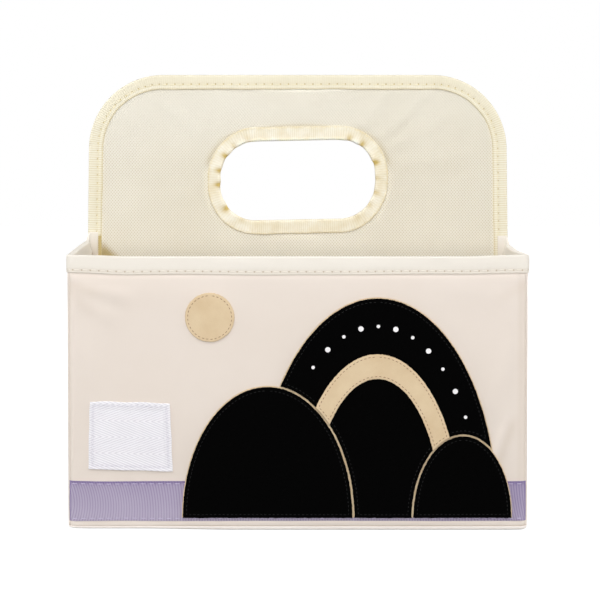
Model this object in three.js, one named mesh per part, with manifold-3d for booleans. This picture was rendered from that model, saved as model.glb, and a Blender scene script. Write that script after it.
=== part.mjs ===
// A soft-sided nappy caddy. Two canvas bins stand back to back on one floor, and the stiff divider
// between them rises above their rims as a carrying handle with a taped hand hole.
// Every wall is a sandwich: outer canvas, stiffening board, lining, with a folded tape over the rim.
// A loose covered board lies on the floor of each bin and lifts straight out.
// Millimetres. X runs along the handle, Y from front to rear, Z up; the origin is under the middle.

import * as THREE from "three";
import { mergeVertices } from "three/addons/utils/BufferGeometryUtils.js";
import Module from "manifold-3d";

const wasm = await Module();
wasm.setup();

// Overall sizes
const baseWidth = 332; // outside, at the floor
const rimTaper = 4; // narrower than that at the front and rear rims
const waistTaper = 10; // and where the divider passes between the rims
const caddyDepth = 184; // outside, front canvas to rear canvas
const rimHeight = 198;
const handleHeight = 329; // top of the divider
const insideCornerRadius = 2.25; // upright corners of the bins, inside the rim tape

// Wall plies, listed from the outside in
const canvasThickness = 0.8;
const wallBoardThickness = 1.8;
const liningThickness = 0.6;
const plyGap = 0.15; // between plies that lie on each other
const seamGap = 0.4; // between panels that meet edge to edge
const wallBoardDrop = 2; // board edge below the rim
const rimTapeThickness = 0.6;
const rimTapeHeight = 12.5;

// Where a side panel runs up the divider
const scoopRise = 10;
const scoopLength = 17;
const turnRadius = 5; // bend from the side onto the divider
const turnClearance = 0.2;
const flangeWidth = 8; // strip of the panel that lies on the divider, bend included

// Floor
const floorThickness = 1.2;
const floorLipHeight = 3.1;
const floorEdgeRadius = 2.9;
const floorSeamGap = 0.2;

// Divider
const dividerBoardThickness = 2.4;
const coverThickness = 0.8;
const handleCornerRadius = 57;
const tapeThickness = 0.8; // ribbed tape folded over the divider's edges
const tapeFoldRoom = 0.8; // between the fold and the board's edge
const edgeTapeWidth = 10.6;
const dividerFloorGap = 0.3;

// Hand hole
const holeWidth = 118.5;
const holeHeight = 60;
const holeCornerRadius = 27;
const gripHeight = 49.5; // from the hole up to the top of the divider
const holeTapeWidth = 10.4;

// Loose floor boards
const insertBoardThickness = 2.5;
const insertCoverThickness = 0.8;
const insertClearance = 0.8; // to the narrowest part of the way out
const insertCornerRadius = 5;
const insertFloorGap = 0.3;

// Ribbon and label on the front
const ribbonThickness = 0.5;
const ribbonWidth = 28.8;
const ribbonHeight = 7.3; // its lower edge above the ground
const labelWidth = 58.8;
const labelHeight = 49;
const labelThickness = 0.7;
const labelCornerRadius = 1.2;
const labelSideInset = 16.8;
const labelRibbonGap = 8.3; // above the ribbon

// Felt landscape: three hills on a backing, an arch on the tall hill, and a moon. Its field is the
// front from beside the label to near the right seam; shares run across the field and up the wall.
const backingThickness = 0.6;
const hillFeltThickness = 1.2;
const topFeltThickness = 1;
const feltSeam = 1.5; // the strip of backing seen between two hills
const backingMargin = 0.7; // backing seen round the hills
const feltRibbonInset = 2.4; // hills' foot above the ribbon's lower edge
const feltLabelGap = 8;
const feltSeamInset = 6;
const moonRadius = 17.5;
const tallHillShares = { centreShare: 0.59, halfWidthShare: 0.366, heightShare: 0.8 };
const lowHillShares = { centreShare: 0.258, halfWidthShare: 0.258, heightShare: 0.48 };
const smallHillShares = { centreShare: 0.851, halfWidthShare: 0.149, heightShare: 0.3 };
const archOuterShares = { centreShare: 0.59, halfWidthShare: 0.253, heightShare: 0.6 };
const archInnerShares = { centreShare: 0.59, halfWidthShare: 0.194, heightShare: 0.51 };
const moonCentreShares = { acrossShare: 0.085, upShare: 0.78 };

// Facets
const levelShares = [0, 0.35, 0.7]; // of the boards' height
const foldRadiusShare = 2; // of a folded strip's thickness
const foldSteps = 3;
const cornerSteps = 4;
const handleCornerSteps = 12;
const holeCornerSteps = 10;
const ellipseSteps = 32;
const moonSteps = 32;
const edgeRoundSteps = 4;
const cuttingOverrun = 5; // every cutter passes the face it cuts by this much
const weldDistance = 1e-4;

// Sizes that follow from the ones above
const wallDepth = canvasThickness + wallBoardThickness + liningThickness + 2 * plyGap;
const rimTapeReach = plyGap + rimTapeThickness;
const wallCornerRadius = wallDepth + rimTapeReach + insideCornerRadius;
const wallBottom = floorLipHeight + floorSeamGap;
const wallBoardTop = rimHeight - wallBoardDrop;
const coverFace = dividerBoardThickness / 2 + plyGap + coverThickness;
const tapeFace = coverFace + plyGap + tapeThickness;
const dividerReach = tapeFace + turnClearance; // where a bin's flange lies, from the middle plane
const buttReach = dividerReach + turnRadius + seamGap; // where boards, linings and rim tapes stop
const boardInset = tapeThickness + tapeFoldRoom;
const binFront = -caddyDepth / 2;

const group = new THREE.Group();

// Materials

const finish = (color, roughness) => new THREE.MeshStandardMaterial({ color, roughness, metalness: 0 });
const canvasCream = () => finish(0xebe1d7, 0.9);
const liningCream = () => finish(0xeee6da, 0.95);
const rimCream = () => finish(0xf2ece3, 0.85);
const wovenIvory = () => finish(0xe7e1cc, 0.85);
const tapeYellow = () => finish(0xf0e7cd, 0.7);
const greyBoard = () => finish(0xa8a196, 0.95);
const ribbonLavender = () => finish(0xaba1b6, 0.65);
const labelWhite = () => finish(0xecebf0, 0.85);
const blackFelt = () => finish(0x0a090a, 1);
const tanFelt = () => finish(0xe0cba9, 1);

function addPiece(name, geometry, material) {
  const mesh = new THREE.Mesh(geometry, material);
  mesh.name = name;
  group.add(mesh);
}

// Solids

// Turns a geometry's faces outwards when its signed volume says that they point in.
function facingOut(geometry) {
  const { array } = geometry.attributes.position;
  const index = geometry.index.array;
  const corner = [new THREE.Vector3(), new THREE.Vector3(), new THREE.Vector3()];
  let volume = 0;
  for (let face = 0; face < index.length; face += 3) {
    corner.forEach((point, k) => point.fromArray(array, 3 * index[face + k]));
    volume += corner[0].dot(corner[1].cross(corner[2]));
  }
  if (volume < 0) index.reverse();
  geometry.computeVertexNormals();
  return geometry;
}

// Sweeps a flat section through a row of stations. sectionAt(i) lists its [a, b] corners and
// place(i, a, b) puts one in space. A side's faces split from the near station's corner with the
// lower b to the far one's higher, so plies that follow the same twist stay parallel. An open
// sweep is capped at both ends.
function sweep(count, sectionAt, place, closed = false) {
  const positions = [];
  const index = [];
  const corners = sectionAt(0).length;
  for (let i = 0; i < count; i++) {
    const section = sectionAt(i);
    for (const [a, b] of section) positions.push(...place(i, a, b));
    if (i === count - 1 && !closed) continue;
    const [near, far] = [i * corners, ((i + 1) % count) * corners];
    for (let k = 0; k < corners; k++) {
      const next = (k + 1) % corners;
      if (section[next][1] >= section[k][1]) {
        index.push(near + k, near + next, far + next, near + k, far + next, far + k);
      } else {
        index.push(near + k, near + next, far + k, near + next, far + next, far + k);
      }
    }
  }
  if (!closed) {
    const outline = sectionAt(0).map(([a, b]) => new THREE.Vector2(a, b));
    const last = (count - 1) * corners;
    for (const face of THREE.ShapeUtils.triangulateShape(outline, [])) {
      const [p, q, r] = THREE.ShapeUtils.isClockWise(outline) ? face.reverse() : face;
      index.push(r, q, p, last + p, last + q, last + r);
    }
  }
  const geometry = new THREE.BufferGeometry();
  geometry.setAttribute("position", new THREE.Float32BufferAttribute(positions, 3));
  geometry.setIndex(index);
  return facingOut(geometry);
}

function solidOf(geometry) {
  const bare = new THREE.BufferGeometry();
  bare.setAttribute("position", geometry.getAttribute("position"));
  if (geometry.index) bare.setIndex(geometry.index);
  const welded = mergeVertices(bare, weldDistance);
  return new wasm.Manifold(
    new wasm.Mesh({
      numProp: 3,
      vertProperties: welded.attributes.position.array,
      triVerts: new Uint32Array(welded.index.array),
    }),
  );
}

function geometryOf(solid) {
  const mesh = solid.getMesh();
  const geometry = new THREE.BufferGeometry();
  geometry.setAttribute("position", new THREE.BufferAttribute(mesh.vertProperties, 3));
  geometry.setIndex(new THREE.BufferAttribute(mesh.triVerts, 1));
  geometry.computeVertexNormals();
  return geometry;
}

// Outlines

// A path through corners that all turn left, each inner corner rounded to its radius. A station
// has its place, the unit normal to the path's left, and t: run k goes from 2k to 2k + 1, and the
// arc after it on to 2k + 2. The ends of a run next to an arc belong to the arc.
function filletedPath(corners, radii, runShares, arcShares) {
  const runs = corners.slice(1).map((corner, k) => corner.clone().sub(corners[k]).normalize());
  const turns = radii.map((radius, k) => Math.acos(THREE.MathUtils.clamp(runs[k].dot(runs[k + 1]), -1, 1)));
  const trims = [0, ...radii.map((radius, k) => radius * Math.tan(turns[k] / 2)), 0];
  const stations = [];
  runs.forEach((run, k) => {
    const start = corners[k].clone().addScaledVector(run, trims[k]);
    const end = corners[k + 1].clone().addScaledVector(run, -trims[k + 1]);
    const left = new THREE.Vector2(-run.y, run.x);
    for (const share of runShares[k]) {
      const point = start.clone().lerp(end, share);
      stations.push({ x: point.x, y: point.y, nx: left.x, ny: left.y, t: 2 * k + share });
    }
    if (k >= radii.length) return;
    const centre = end.clone().addScaledVector(left, radii[k]);
    for (const share of arcShares[k]) {
      const normal = left.clone().rotateAround(new THREE.Vector2(), turns[k] * share);
      const point = centre.clone().addScaledVector(normal, -radii[k]);
      stations.push({ x: point.x, y: point.y, nx: normal.x, ny: normal.y, t: 2 * k + 1 + share });
    }
  });
  return stations;
}

const evenShares = (steps) => Array.from({ length: steps + 1 }, (unused, k) => k / steps);

// The stations of a rounded rectangle about the origin, with their outward normals.
function roundedRing(width, height, radius, steps) {
  return [0, 1, 2, 3].flatMap((quarter) =>
    evenShares(steps).map((share) => {
      const angle = ((quarter + share) * Math.PI) / 2;
      const [nx, ny] = [Math.cos(angle), Math.sin(angle)];
      const across = (quarter === 0 || quarter === 3 ? 1 : -1) * (width / 2 - radius);
      const up = (quarter < 2 ? 1 : -1) * (height / 2 - radius);
      return { x: across + radius * nx, y: up + radius * ny, nx, ny };
    }),
  );
}

// A flat shape through stations, each moved along its normal.
const shapeOf = (stations, along = 0) =>
  new THREE.Shape(stations.map((s) => new THREE.Vector2(s.x + s.nx * along, s.y + s.ny * along)));

// An upright plate: the shape's y becomes Z, and the plate fills nearY to nearY + thickness.
function plate(shape, thickness, nearY) {
  const geometry = new THREE.ExtrudeGeometry(shape, { depth: thickness, bevelEnabled: false });
  geometry.rotateX(Math.PI / 2);
  geometry.translate(0, nearY + thickness, 0);
  return geometry;
}

// Bins

// Half the outside width at a distance from the middle plane and a height.
function halfWidthAt(reach, z) {
  const rise = z / rimHeight;
  const outward = (reach - dividerReach) / (caddyDepth / 2 - dividerReach);
  return (baseWidth - THREE.MathUtils.lerp(waistTaper, rimTaper, outward) * rise) / 2;
}

// How high the fabric's edge is at a distance from the middle plane: level, then up the divider.
function edgeHeightAt(reach) {
  const near = 1 - Math.min((reach - dividerReach) / scoopLength, 1);
  return rimHeight + scoopRise * near * near;
}

const seamShare = seamGap / (Math.PI * wallCornerRadius); // half a seam, as a share of the corner
const cornerShares = [0, 0.25, 0.5 - seamShare, 0.5 + seamShare, 0.75, 1];
const scoopShares = [1, 0.8, 0.6, 0.45]; // of the scoop's length, from the divider

// Marks along half a bin's outside line, which starts at the middle of the front wall: whole runs
// and arcs, and shares of the one that a mark lies on.
const markShares = {
  middleShare: 0,
  frontEndShare: 1,
  frontSeamShare: 1 + (0.5 - seamShare),
  sideSeamShare: 1 + (0.5 + seamShare),
  sideStartShare: 2,
  sideEndShare: 3,
  flangeEndShare: 5,
};

// That line at height z: along the front wall, round the corner and back along the side to
// endReach, and for a flanged one round its last bend and on along the divider.
function binPath(z, endReach, flanged) {
  const sideStart = -binFront - wallCornerRadius;
  const sideLength = sideStart - endReach - (flanged ? turnRadius : 0);
  const scoopReaches = scoopShares.map((share) => dividerReach + share * scoopLength);
  const reaches = [(sideStart + scoopReaches[0]) / 2, ...scoopReaches];
  const sideShares = reaches.map((reach) => (sideStart - reach) / sideLength);
  const sideEnd = halfWidthAt(endReach, z);
  const corners = [
    new THREE.Vector2(0, binFront),
    new THREE.Vector2(halfWidthAt(-binFront, z), binFront),
    new THREE.Vector2(sideEnd, -endReach),
  ];
  if (!flanged) return filletedPath(corners, [wallCornerRadius], [[0], [...sideShares, 1]], [cornerShares]);
  corners.push(new THREE.Vector2(sideEnd - flangeWidth, -endReach));
  const arcShares = [cornerShares, evenShares(cornerSteps)];
  return filletedPath(corners, [wallCornerRadius, turnRadius], [[0], sideShares, [1]], arcShares);
}

// The part of a bin's line between two marks: a count of stations, how far each lies from the
// middle plane, and a place for it. facing is 1 for the front bin and -1 for the rear one.
function sideStretch(first, last, { endReach, flanged = false, facing, sideSign }) {
  const stationsAt = (z) => binPath(z, endReach, flanged).filter(({ t }) => t >= first && t <= last);
  return {
    count: stationsAt(rimHeight).length,
    reach: (i) => -stationsAt(rimHeight)[i].y,
    place: (i, depth, z) => {
      const station = stationsAt(z)[i];
      return [sideSign * (station.x + station.nx * depth), facing * (station.y + station.ny * depth), z];
    },
  };
}

// The same from the middle to a mark on both sides, as one row.
function acrossStretch(last, facing) {
  const right = sideStretch(markShares.middleShare, last, { endReach: buttReach, facing, sideSign: 1 });
  const left = sideStretch(markShares.middleShare, last, { endReach: buttReach, facing, sideSign: -1 });
  const middle = right.count - 1;
  return {
    count: 2 * middle + 1,
    reach: (i) => right.reach(Math.abs(i - middle)),
    place: (i, depth, z) => (i < middle ? left : right).place(Math.abs(i - middle), depth, z),
  };
}

const wallLevels = levelShares.map((share) => THREE.MathUtils.lerp(wallBottom, wallBoardTop, share));

// One ply of a wall, from outer to inner depth, up to topAt(reach).
function ply(stretch, outer, inner, topAt) {
  const section = (i) => {
    const levels = [...wallLevels, topAt(stretch.reach(i))];
    return [...levels.map((z) => [inner, z]), ...levels.reverse().map((z) => [outer, z])];
  };
  return sweep(stretch.count, section, stretch.place);
}

// The section of a strip folded over an edge that reaches from near to far: the fold lies at
// a = 0, its outer corners are rounded, and a leg runs down each face to a = width.
function foldedStrip(near, far, width, thickness) {
  const radius = thickness * foldRadiusShare;
  const round = evenShares(foldSteps).map((share) => (Math.PI / 2) * share);
  const [low, high] = [near - thickness, far + thickness];
  return [
    [thickness, near],
    [width, near],
    [width, low],
    ...round.map((turn) => [radius - radius * Math.sin(turn), low + radius - radius * Math.cos(turn)]),
    ...round.map((turn) => [radius - radius * Math.cos(turn), high - radius + radius * Math.sin(turn)]),
    [width, high],
    [width, far],
    [thickness, far],
  ];
}

// Tape folded over a wall's top edge.
function rimTape(stretch) {
  const strip = foldedStrip(-plyGap, wallDepth + plyGap, rimTapeHeight, rimTapeThickness);
  const section = (i) => {
    const top = edgeHeightAt(stretch.reach(i)) + rimTapeReach;
    return strip.map(([down, depth]) => [depth, top - down]);
  };
  return sweep(stretch.count, section, stretch.place);
}

const boardOuter = canvasThickness + plyGap;
const boardInner = boardOuter + wallBoardThickness;
const liningOuter = boardInner + plyGap;
const boardTopAt = () => wallBoardTop;

const bins = [["front", 1], ["rear", -1]];
const hands = [["left", -1], ["right", 1]];

for (const [bin, facing] of bins) {
  const panel = acrossStretch(markShares.frontSeamShare, facing);
  const flat = acrossStretch(markShares.frontEndShare, facing);
  addPiece(`${bin}_wall_canvas`, ply(panel, 0, canvasThickness, edgeHeightAt), canvasCream());
  addPiece(`${bin}_wall_board`, ply(flat, boardOuter, boardInner, boardTopAt), greyBoard());
  addPiece(`${bin}_wall_lining`, ply(panel, liningOuter, wallDepth, edgeHeightAt), liningCream());
  for (const [hand, sideSign] of hands) {
    const flanged = { endReach: dividerReach, flanged: true, facing, sideSign };
    const plain = { endReach: buttReach, facing, sideSign };
    const canvas = sideStretch(markShares.sideSeamShare, markShares.flangeEndShare, flanged);
    const board = sideStretch(markShares.sideStartShare, markShares.sideEndShare, plain);
    const lining = sideStretch(markShares.sideSeamShare, markShares.sideEndShare, plain);
    const name = `${bin}_${hand}_gusset`;
    addPiece(`${name}_canvas`, ply(canvas, 0, canvasThickness, edgeHeightAt), canvasCream());
    addPiece(`${name}_board`, ply(board, boardOuter, boardInner, boardTopAt), greyBoard());
    addPiece(`${name}_lining`, ply(lining, liningOuter, wallDepth, edgeHeightAt), liningCream());
  }
  addPiece(`${bin}_rim_tape`, rimTape(acrossStretch(markShares.sideEndShare, facing)), rimCream());
}

// Floor: a shallow canvas tray with a rounded foot, which the walls stand on

function floorTray() {
  const outline = roundedRing(baseWidth, caddyDepth, wallCornerRadius, cornerSteps);
  const outer = new THREE.ExtrudeGeometry(shapeOf(outline), {
    depth: floorLipHeight,
    bevelThickness: floorEdgeRadius,
    bevelSize: floorEdgeRadius,
    bevelOffset: -floorEdgeRadius,
    bevelSegments: edgeRoundSteps,
  });
  outer.translate(0, 0, floorEdgeRadius);
  const cavity = new THREE.ExtrudeGeometry(shapeOf(outline, -floorThickness), {
    depth: floorLipHeight + 2 * floorEdgeRadius,
    bevelEnabled: false,
  });
  cavity.translate(0, 0, floorThickness);
  const above = new THREE.BoxGeometry(baseWidth + cuttingOverrun, caddyDepth + cuttingOverrun, handleHeight);
  above.translate(0, 0, floorLipHeight + handleHeight / 2);
  return geometryOf(solidOf(outer).subtract(solidOf(cavity)).subtract(solidOf(above)));
}

addPiece("floor_canvas", floorTray(), canvasCream());

// Divider: a board between two covers, with folded tape round its edge and round the hand hole

const dividerFoot = floorThickness + dividerFloorGap;

// The divider's outside edge, up the right side, over the top and down the left side from foot.
function dividerPath(foot) {
  const half = (z) => halfWidthAt(dividerReach, z);
  const corners = [
    new THREE.Vector2(half(foot), foot),
    new THREE.Vector2(half(handleHeight), handleHeight),
    new THREE.Vector2(-half(handleHeight), handleHeight),
    new THREE.Vector2(-half(foot), foot),
  ];
  const arc = evenShares(handleCornerSteps);
  return filletedPath(corners, [handleCornerRadius, handleCornerRadius], [[0], [], [1]], [arc, arc]);
}

const holeCentreHeight = handleHeight - gripHeight - holeHeight / 2;
const holeRing = roundedRing(holeWidth, holeHeight, holeCornerRadius, holeCornerSteps).map((station) => ({
  ...station,
  y: station.y + holeCentreHeight,
}));

function dividerPly(thickness, nearY) {
  const outline = shapeOf(dividerPath(dividerFoot), boardInset);
  outline.holes.push(shapeOf(holeRing, boardInset));
  return plate(outline, thickness, nearY);
}

const foldedTape = (width) => foldedStrip(-coverFace - plyGap, coverFace + plyGap, width, tapeThickness);

const alongStations = (stations) => (i, a, b) => [
  stations[i].x + stations[i].nx * a,
  b,
  stations[i].y + stations[i].ny * a,
];

const edgePath = dividerPath(wallBottom);
addPiece("divider_board", dividerPly(dividerBoardThickness, -dividerBoardThickness / 2), greyBoard());
addPiece("divider_front_cover", dividerPly(coverThickness, -coverFace), wovenIvory());
addPiece("divider_rear_cover", dividerPly(coverThickness, coverFace - coverThickness), wovenIvory());
addPiece(
  "divider_edge_tape",
  sweep(edgePath.length, () => foldedTape(edgeTapeWidth), alongStations(edgePath)),
  tapeYellow(),
);
addPiece(
  "handle_hole_tape",
  sweep(holeRing.length, () => foldedTape(holeTapeWidth), alongStations(holeRing), true),
  tapeYellow(),
);

// Loose floor boards: a stiff board under a cover folded down round its edge

const insertFoot = floorThickness + insertFloorGap;
const insertHalfWidth =
  halfWidthAt(buttReach, edgeHeightAt(buttReach)) - wallDepth - rimTapeReach - insertClearance;
const insertFront = -binFront - wallDepth - rimTapeReach - insertClearance;
const insertBack = dividerReach + canvasThickness + insertClearance;

for (const [bin, facing] of bins) {
  const ring = roundedRing(2 * insertHalfWidth, insertFront - insertBack, insertCornerRadius, cornerSteps);
  const middleY = (-facing * (insertFront + insertBack)) / 2;
  const coverRoom = insertCoverThickness + plyGap;
  const block = (inset, height) => {
    const shape = shapeOf(ring, -inset);
    const geometry = new THREE.ExtrudeGeometry(shape, { depth: height, bevelEnabled: false });
    geometry.translate(0, middleY, insertFoot);
    return geometry;
  };
  const hollow = block(insertCoverThickness, insertBoardThickness + plyGap + cuttingOverrun);
  hollow.translate(0, 0, -cuttingOverrun);
  const cover = solidOf(block(0, insertBoardThickness + coverRoom)).subtract(solidOf(hollow));
  addPiece(`${bin}_floor_board`, block(coverRoom, insertBoardThickness), greyBoard());
  addPiece(`${bin}_floor_board_cover`, geometryOf(cover), liningCream());
}

// Ribbon along the foot of the front wall, from seam to seam

const ribbonStretch = acrossStretch(markShares.frontSeamShare, 1);
const ribbonOuter = -plyGap - ribbonThickness;
const ribbonSection = () => [
  [ribbonOuter, ribbonHeight],
  [-plyGap, ribbonHeight],
  [-plyGap, ribbonHeight + ribbonWidth],
  [ribbonOuter, ribbonHeight + ribbonWidth],
];
addPiece("front_ribbon", sweep(ribbonStretch.count, ribbonSection, ribbonStretch.place), ribbonLavender());

// Woven label, sewn flat on the front wall

const labelLeft = labelSideInset - baseWidth / 2;
const labelFoot = ribbonHeight + ribbonWidth + labelRibbonGap;
const labelPlate = plate(
  shapeOf(roundedRing(labelWidth, labelHeight, labelCornerRadius, cornerSteps)),
  labelThickness,
  binFront - plyGap - labelThickness,
);
labelPlate.translate(labelLeft + labelWidth / 2, 0, labelFoot + labelHeight / 2);
addPiece("woven_label", labelPlate, labelWhite());

// Felt landscape. The hills stand on the ribbon; a lower hill covers a taller one's foot, and the
// taller is cut back round it so that a strip of the backing shows between them.

// A layer of felt on top of what reaches out to outerFace.
const layerOn = (outerFace, thickness) => ({ near: outerFace - plyGap - thickness, thickness });
const backingLayer = layerOn(binFront + ribbonOuter, backingThickness);
const hillLayer = layerOn(backingLayer.near, hillFeltThickness);
const archLayer = layerOn(hillLayer.near, topFeltThickness);
const moonLayer = layerOn(binFront, topFeltThickness);

const feltFoot = ribbonHeight + feltRibbonInset;
const fieldLeft = labelLeft + labelWidth + feltLabelGap;
const fieldRight = halfWidthAt(-binFront, feltFoot) - wallCornerRadius - feltSeamInset;
const acrossField = (share) => THREE.MathUtils.lerp(fieldLeft, fieldRight, share);

// Half an ellipse that stands on the felt's foot, grown all round by a margin.
function hillShape({ centreShare, halfWidthShare, heightShare }, margin) {
  const halfWidth = halfWidthShare * (fieldRight - fieldLeft) + margin;
  const height = heightShare * rimHeight + margin;
  const points = evenShares(ellipseSteps).map((share) => {
    const angle = Math.PI * share;
    const across = acrossField(centreShare) + halfWidth * Math.cos(angle);
    return new THREE.Vector2(across, feltFoot + height * Math.sin(angle));
  });
  return new THREE.Shape(points);
}

function hillFelt(shares, { near, thickness }, margin = 0) {
  return solidOf(plate(hillShape(shares, margin), thickness, near));
}

// What is left of a felt once a hill, grown by a margin, is cut out of it.
function cutByHill(felt, shares, { near, thickness }, margin) {
  const through = { near: near - cuttingOverrun, thickness: thickness + 2 * cuttingOverrun };
  return felt.subtract(hillFelt(shares, through, margin));
}

function cutByLowerHills(felt, layer) {
  const lowCut = cutByHill(felt, lowHillShares, layer, feltSeam);
  return cutByHill(lowCut, smallHillShares, layer, feltSeam);
}

const backing = [tallHillShares, lowHillShares, smallHillShares]
  .map((shares) => hillFelt(shares, backingLayer, backingMargin))
  .reduce((whole, hill) => whole.add(hill));
const tallHill = cutByLowerHills(hillFelt(tallHillShares, hillLayer), hillLayer);
const wholeArch = cutByHill(hillFelt(archOuterShares, archLayer), archInnerShares, archLayer, 0);
addPiece("felt_backing", geometryOf(backing), tanFelt());
addPiece("felt_tall_hill", geometryOf(tallHill), blackFelt());
addPiece("felt_low_hill", geometryOf(hillFelt(lowHillShares, hillLayer)), blackFelt());
addPiece("felt_small_hill", geometryOf(hillFelt(smallHillShares, hillLayer)), blackFelt());
addPiece("felt_arch", geometryOf(cutByLowerHills(wholeArch, archLayer)), tanFelt());

const moon = new THREE.CylinderGeometry(moonRadius, moonRadius, moonLayer.thickness, moonSteps);
moon.translate(
  acrossField(moonCentreShares.acrossShare),
  moonLayer.near + moonLayer.thickness / 2,
  moonCentreShares.upShare * rimHeight,
);
addPiece("felt_moon", moon, tanFelt());

export default group;
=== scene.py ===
"""Looks of a soft-sided nappy caddy: canvas bins back to back, a taped divider that rises as the handle.

Each sub-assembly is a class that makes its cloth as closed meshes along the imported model's own lines.
Lengths in the classes are millimetres; a mesh is written in metres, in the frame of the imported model.
X runs along the handle, Y from front to rear, Z up.
"""

import logging
import math
from collections.abc import Callable, Sequence
from dataclasses import dataclass, field
from enum import Enum
from functools import cached_property, reduce
from itertools import pairwise

import bpy
import numpy as np
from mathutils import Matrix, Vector
from mathutils.geometry import delaunay_2d_cdt

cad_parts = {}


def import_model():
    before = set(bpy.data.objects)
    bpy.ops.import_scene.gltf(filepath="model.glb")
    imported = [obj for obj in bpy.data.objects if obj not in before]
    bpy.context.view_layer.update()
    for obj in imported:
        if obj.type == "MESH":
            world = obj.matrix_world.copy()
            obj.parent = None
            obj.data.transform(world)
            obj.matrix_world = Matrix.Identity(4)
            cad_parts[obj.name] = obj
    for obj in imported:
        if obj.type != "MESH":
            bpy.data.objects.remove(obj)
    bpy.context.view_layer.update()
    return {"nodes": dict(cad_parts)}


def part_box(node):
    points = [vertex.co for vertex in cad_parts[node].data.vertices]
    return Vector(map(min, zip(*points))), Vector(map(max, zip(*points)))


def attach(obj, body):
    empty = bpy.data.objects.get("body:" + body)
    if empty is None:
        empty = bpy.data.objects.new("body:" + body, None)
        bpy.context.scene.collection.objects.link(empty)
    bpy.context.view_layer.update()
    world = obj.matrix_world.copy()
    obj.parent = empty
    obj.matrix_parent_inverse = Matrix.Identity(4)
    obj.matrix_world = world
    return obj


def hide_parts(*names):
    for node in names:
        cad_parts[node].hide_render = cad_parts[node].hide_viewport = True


LOG = logging.getLogger("caddy")
MM = 0.001
CLOTH_UV = "cloth"
# Name of the mesh attribute that carries painted shade, above 0, and painted light, below 0.
PAINTED_SHADE = "crease"
CADDY_BODY = "caddy"

Array = np.ndarray
Piece = bpy.types.Object
Socket = bpy.types.NodeSocket
Span = tuple[float, float]


class Bin(Enum):
    """The two bins, with the side of the divider that each stands on."""

    FRONT = 1
    REAR = -1


class Hand(Enum):
    """The caddy's left and right, seen from the front."""

    LEFT = -1
    RIGHT = 1


class Weave(Enum):
    """How a finish's threads lie."""

    PLAIN = "plain"
    BIAS = "bias"
    RIBBED = "ribbed"
    HERRINGBONE = "herringbone"
    FELTED = "felted"


def smooth_step(low: float, high: float, value: Array) -> Array:
    """Eases from 0 at low to 1 at high.

    Args:
        low: Where the rise starts.
        high: Where it ends; it may be below low.
        value: The places asked for.

    Returns:
        The eased share of each place.
    """
    share = np.clip((np.asarray(value, float) - low) / (high - low), 0.0, 1.0)
    return share * share * (3.0 - 2.0 * share)


def reach_along(points: Array) -> Array:
    """Returns each point's distance along the open line that the points make."""
    return np.concatenate([[0.0], np.cumsum(np.linalg.norm(np.diff(points, axis=0), axis=1))])


def bell(distance: Array, width: float) -> Array:
    """Returns 1 at no distance, falling off smoothly over the width."""
    return np.exp(-0.5 * (np.asarray(distance, float) / width) ** 2)


def edge_spaced(length: float, step: float, edge: float = 0.3) -> Array:
    """Spreads places over a length, with one more close to each end so that the edges stay crisp.

    Args:
        length: How far the places reach.
        step: The usual distance between two.
        edge: How far the extra places are from the ends.

    Returns:
        The places as shares of the length.
    """
    count = max(int(math.ceil((length - 2 * edge) / step)), 1)
    inner = np.linspace(edge, length - edge, count + 1)
    return np.concatenate([[0.0], inner, [length]]) / length


@dataclass(frozen=True)
class SoftNoise:
    """Smooth unevenness of hand-sewn cloth, the same on every run."""

    size: float
    seed: int
    waves: int = 9

    def at(self, along: Array, across: Array | float = 0.0) -> Array:
        """Reads the noise.

        Args:
            along: Places along the cloth.
            across: Places across it.

        Returns:
            Values that mostly lie between -1 and 1.
        """
        draws = np.random.default_rng(self.seed)
        total = np.zeros(np.broadcast(along, across).shape)
        for _ in range(self.waves):
            angle = draws.uniform(0.0, math.tau)
            length = self.size * draws.uniform(0.7, 1.7)
            phase = draws.uniform(0.0, math.tau)
            reach = np.asarray(along) * math.cos(angle) + np.asarray(across) * math.sin(angle)
            total = total + np.cos(math.tau * reach / length + phase)
        return total / math.sqrt(2.0 * self.waves)


@dataclass(frozen=True)
class Crease:
    """A soft ridge in a cloth from one point to another, measured along and across it."""

    start: Span
    end: Span
    width: float
    height: float

    def at(self, along: Array, across: Array) -> Array:
        """Returns how far the ridge lifts the cloth at these places."""
        start, end = np.array(self.start), np.array(self.end)
        run = end - start
        length = float(np.hypot(*run))
        run = run / length
        offset_along, offset_across = along - start[0], across - start[1]
        reach = offset_along * run[0] + offset_across * run[1]
        beside = offset_along * run[1] - offset_across * run[0]
        past = np.maximum(np.maximum(-reach, reach - length), 0.0)
        return self.height * bell(beside, self.width) * bell(past, 2.0 * self.width)


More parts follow.
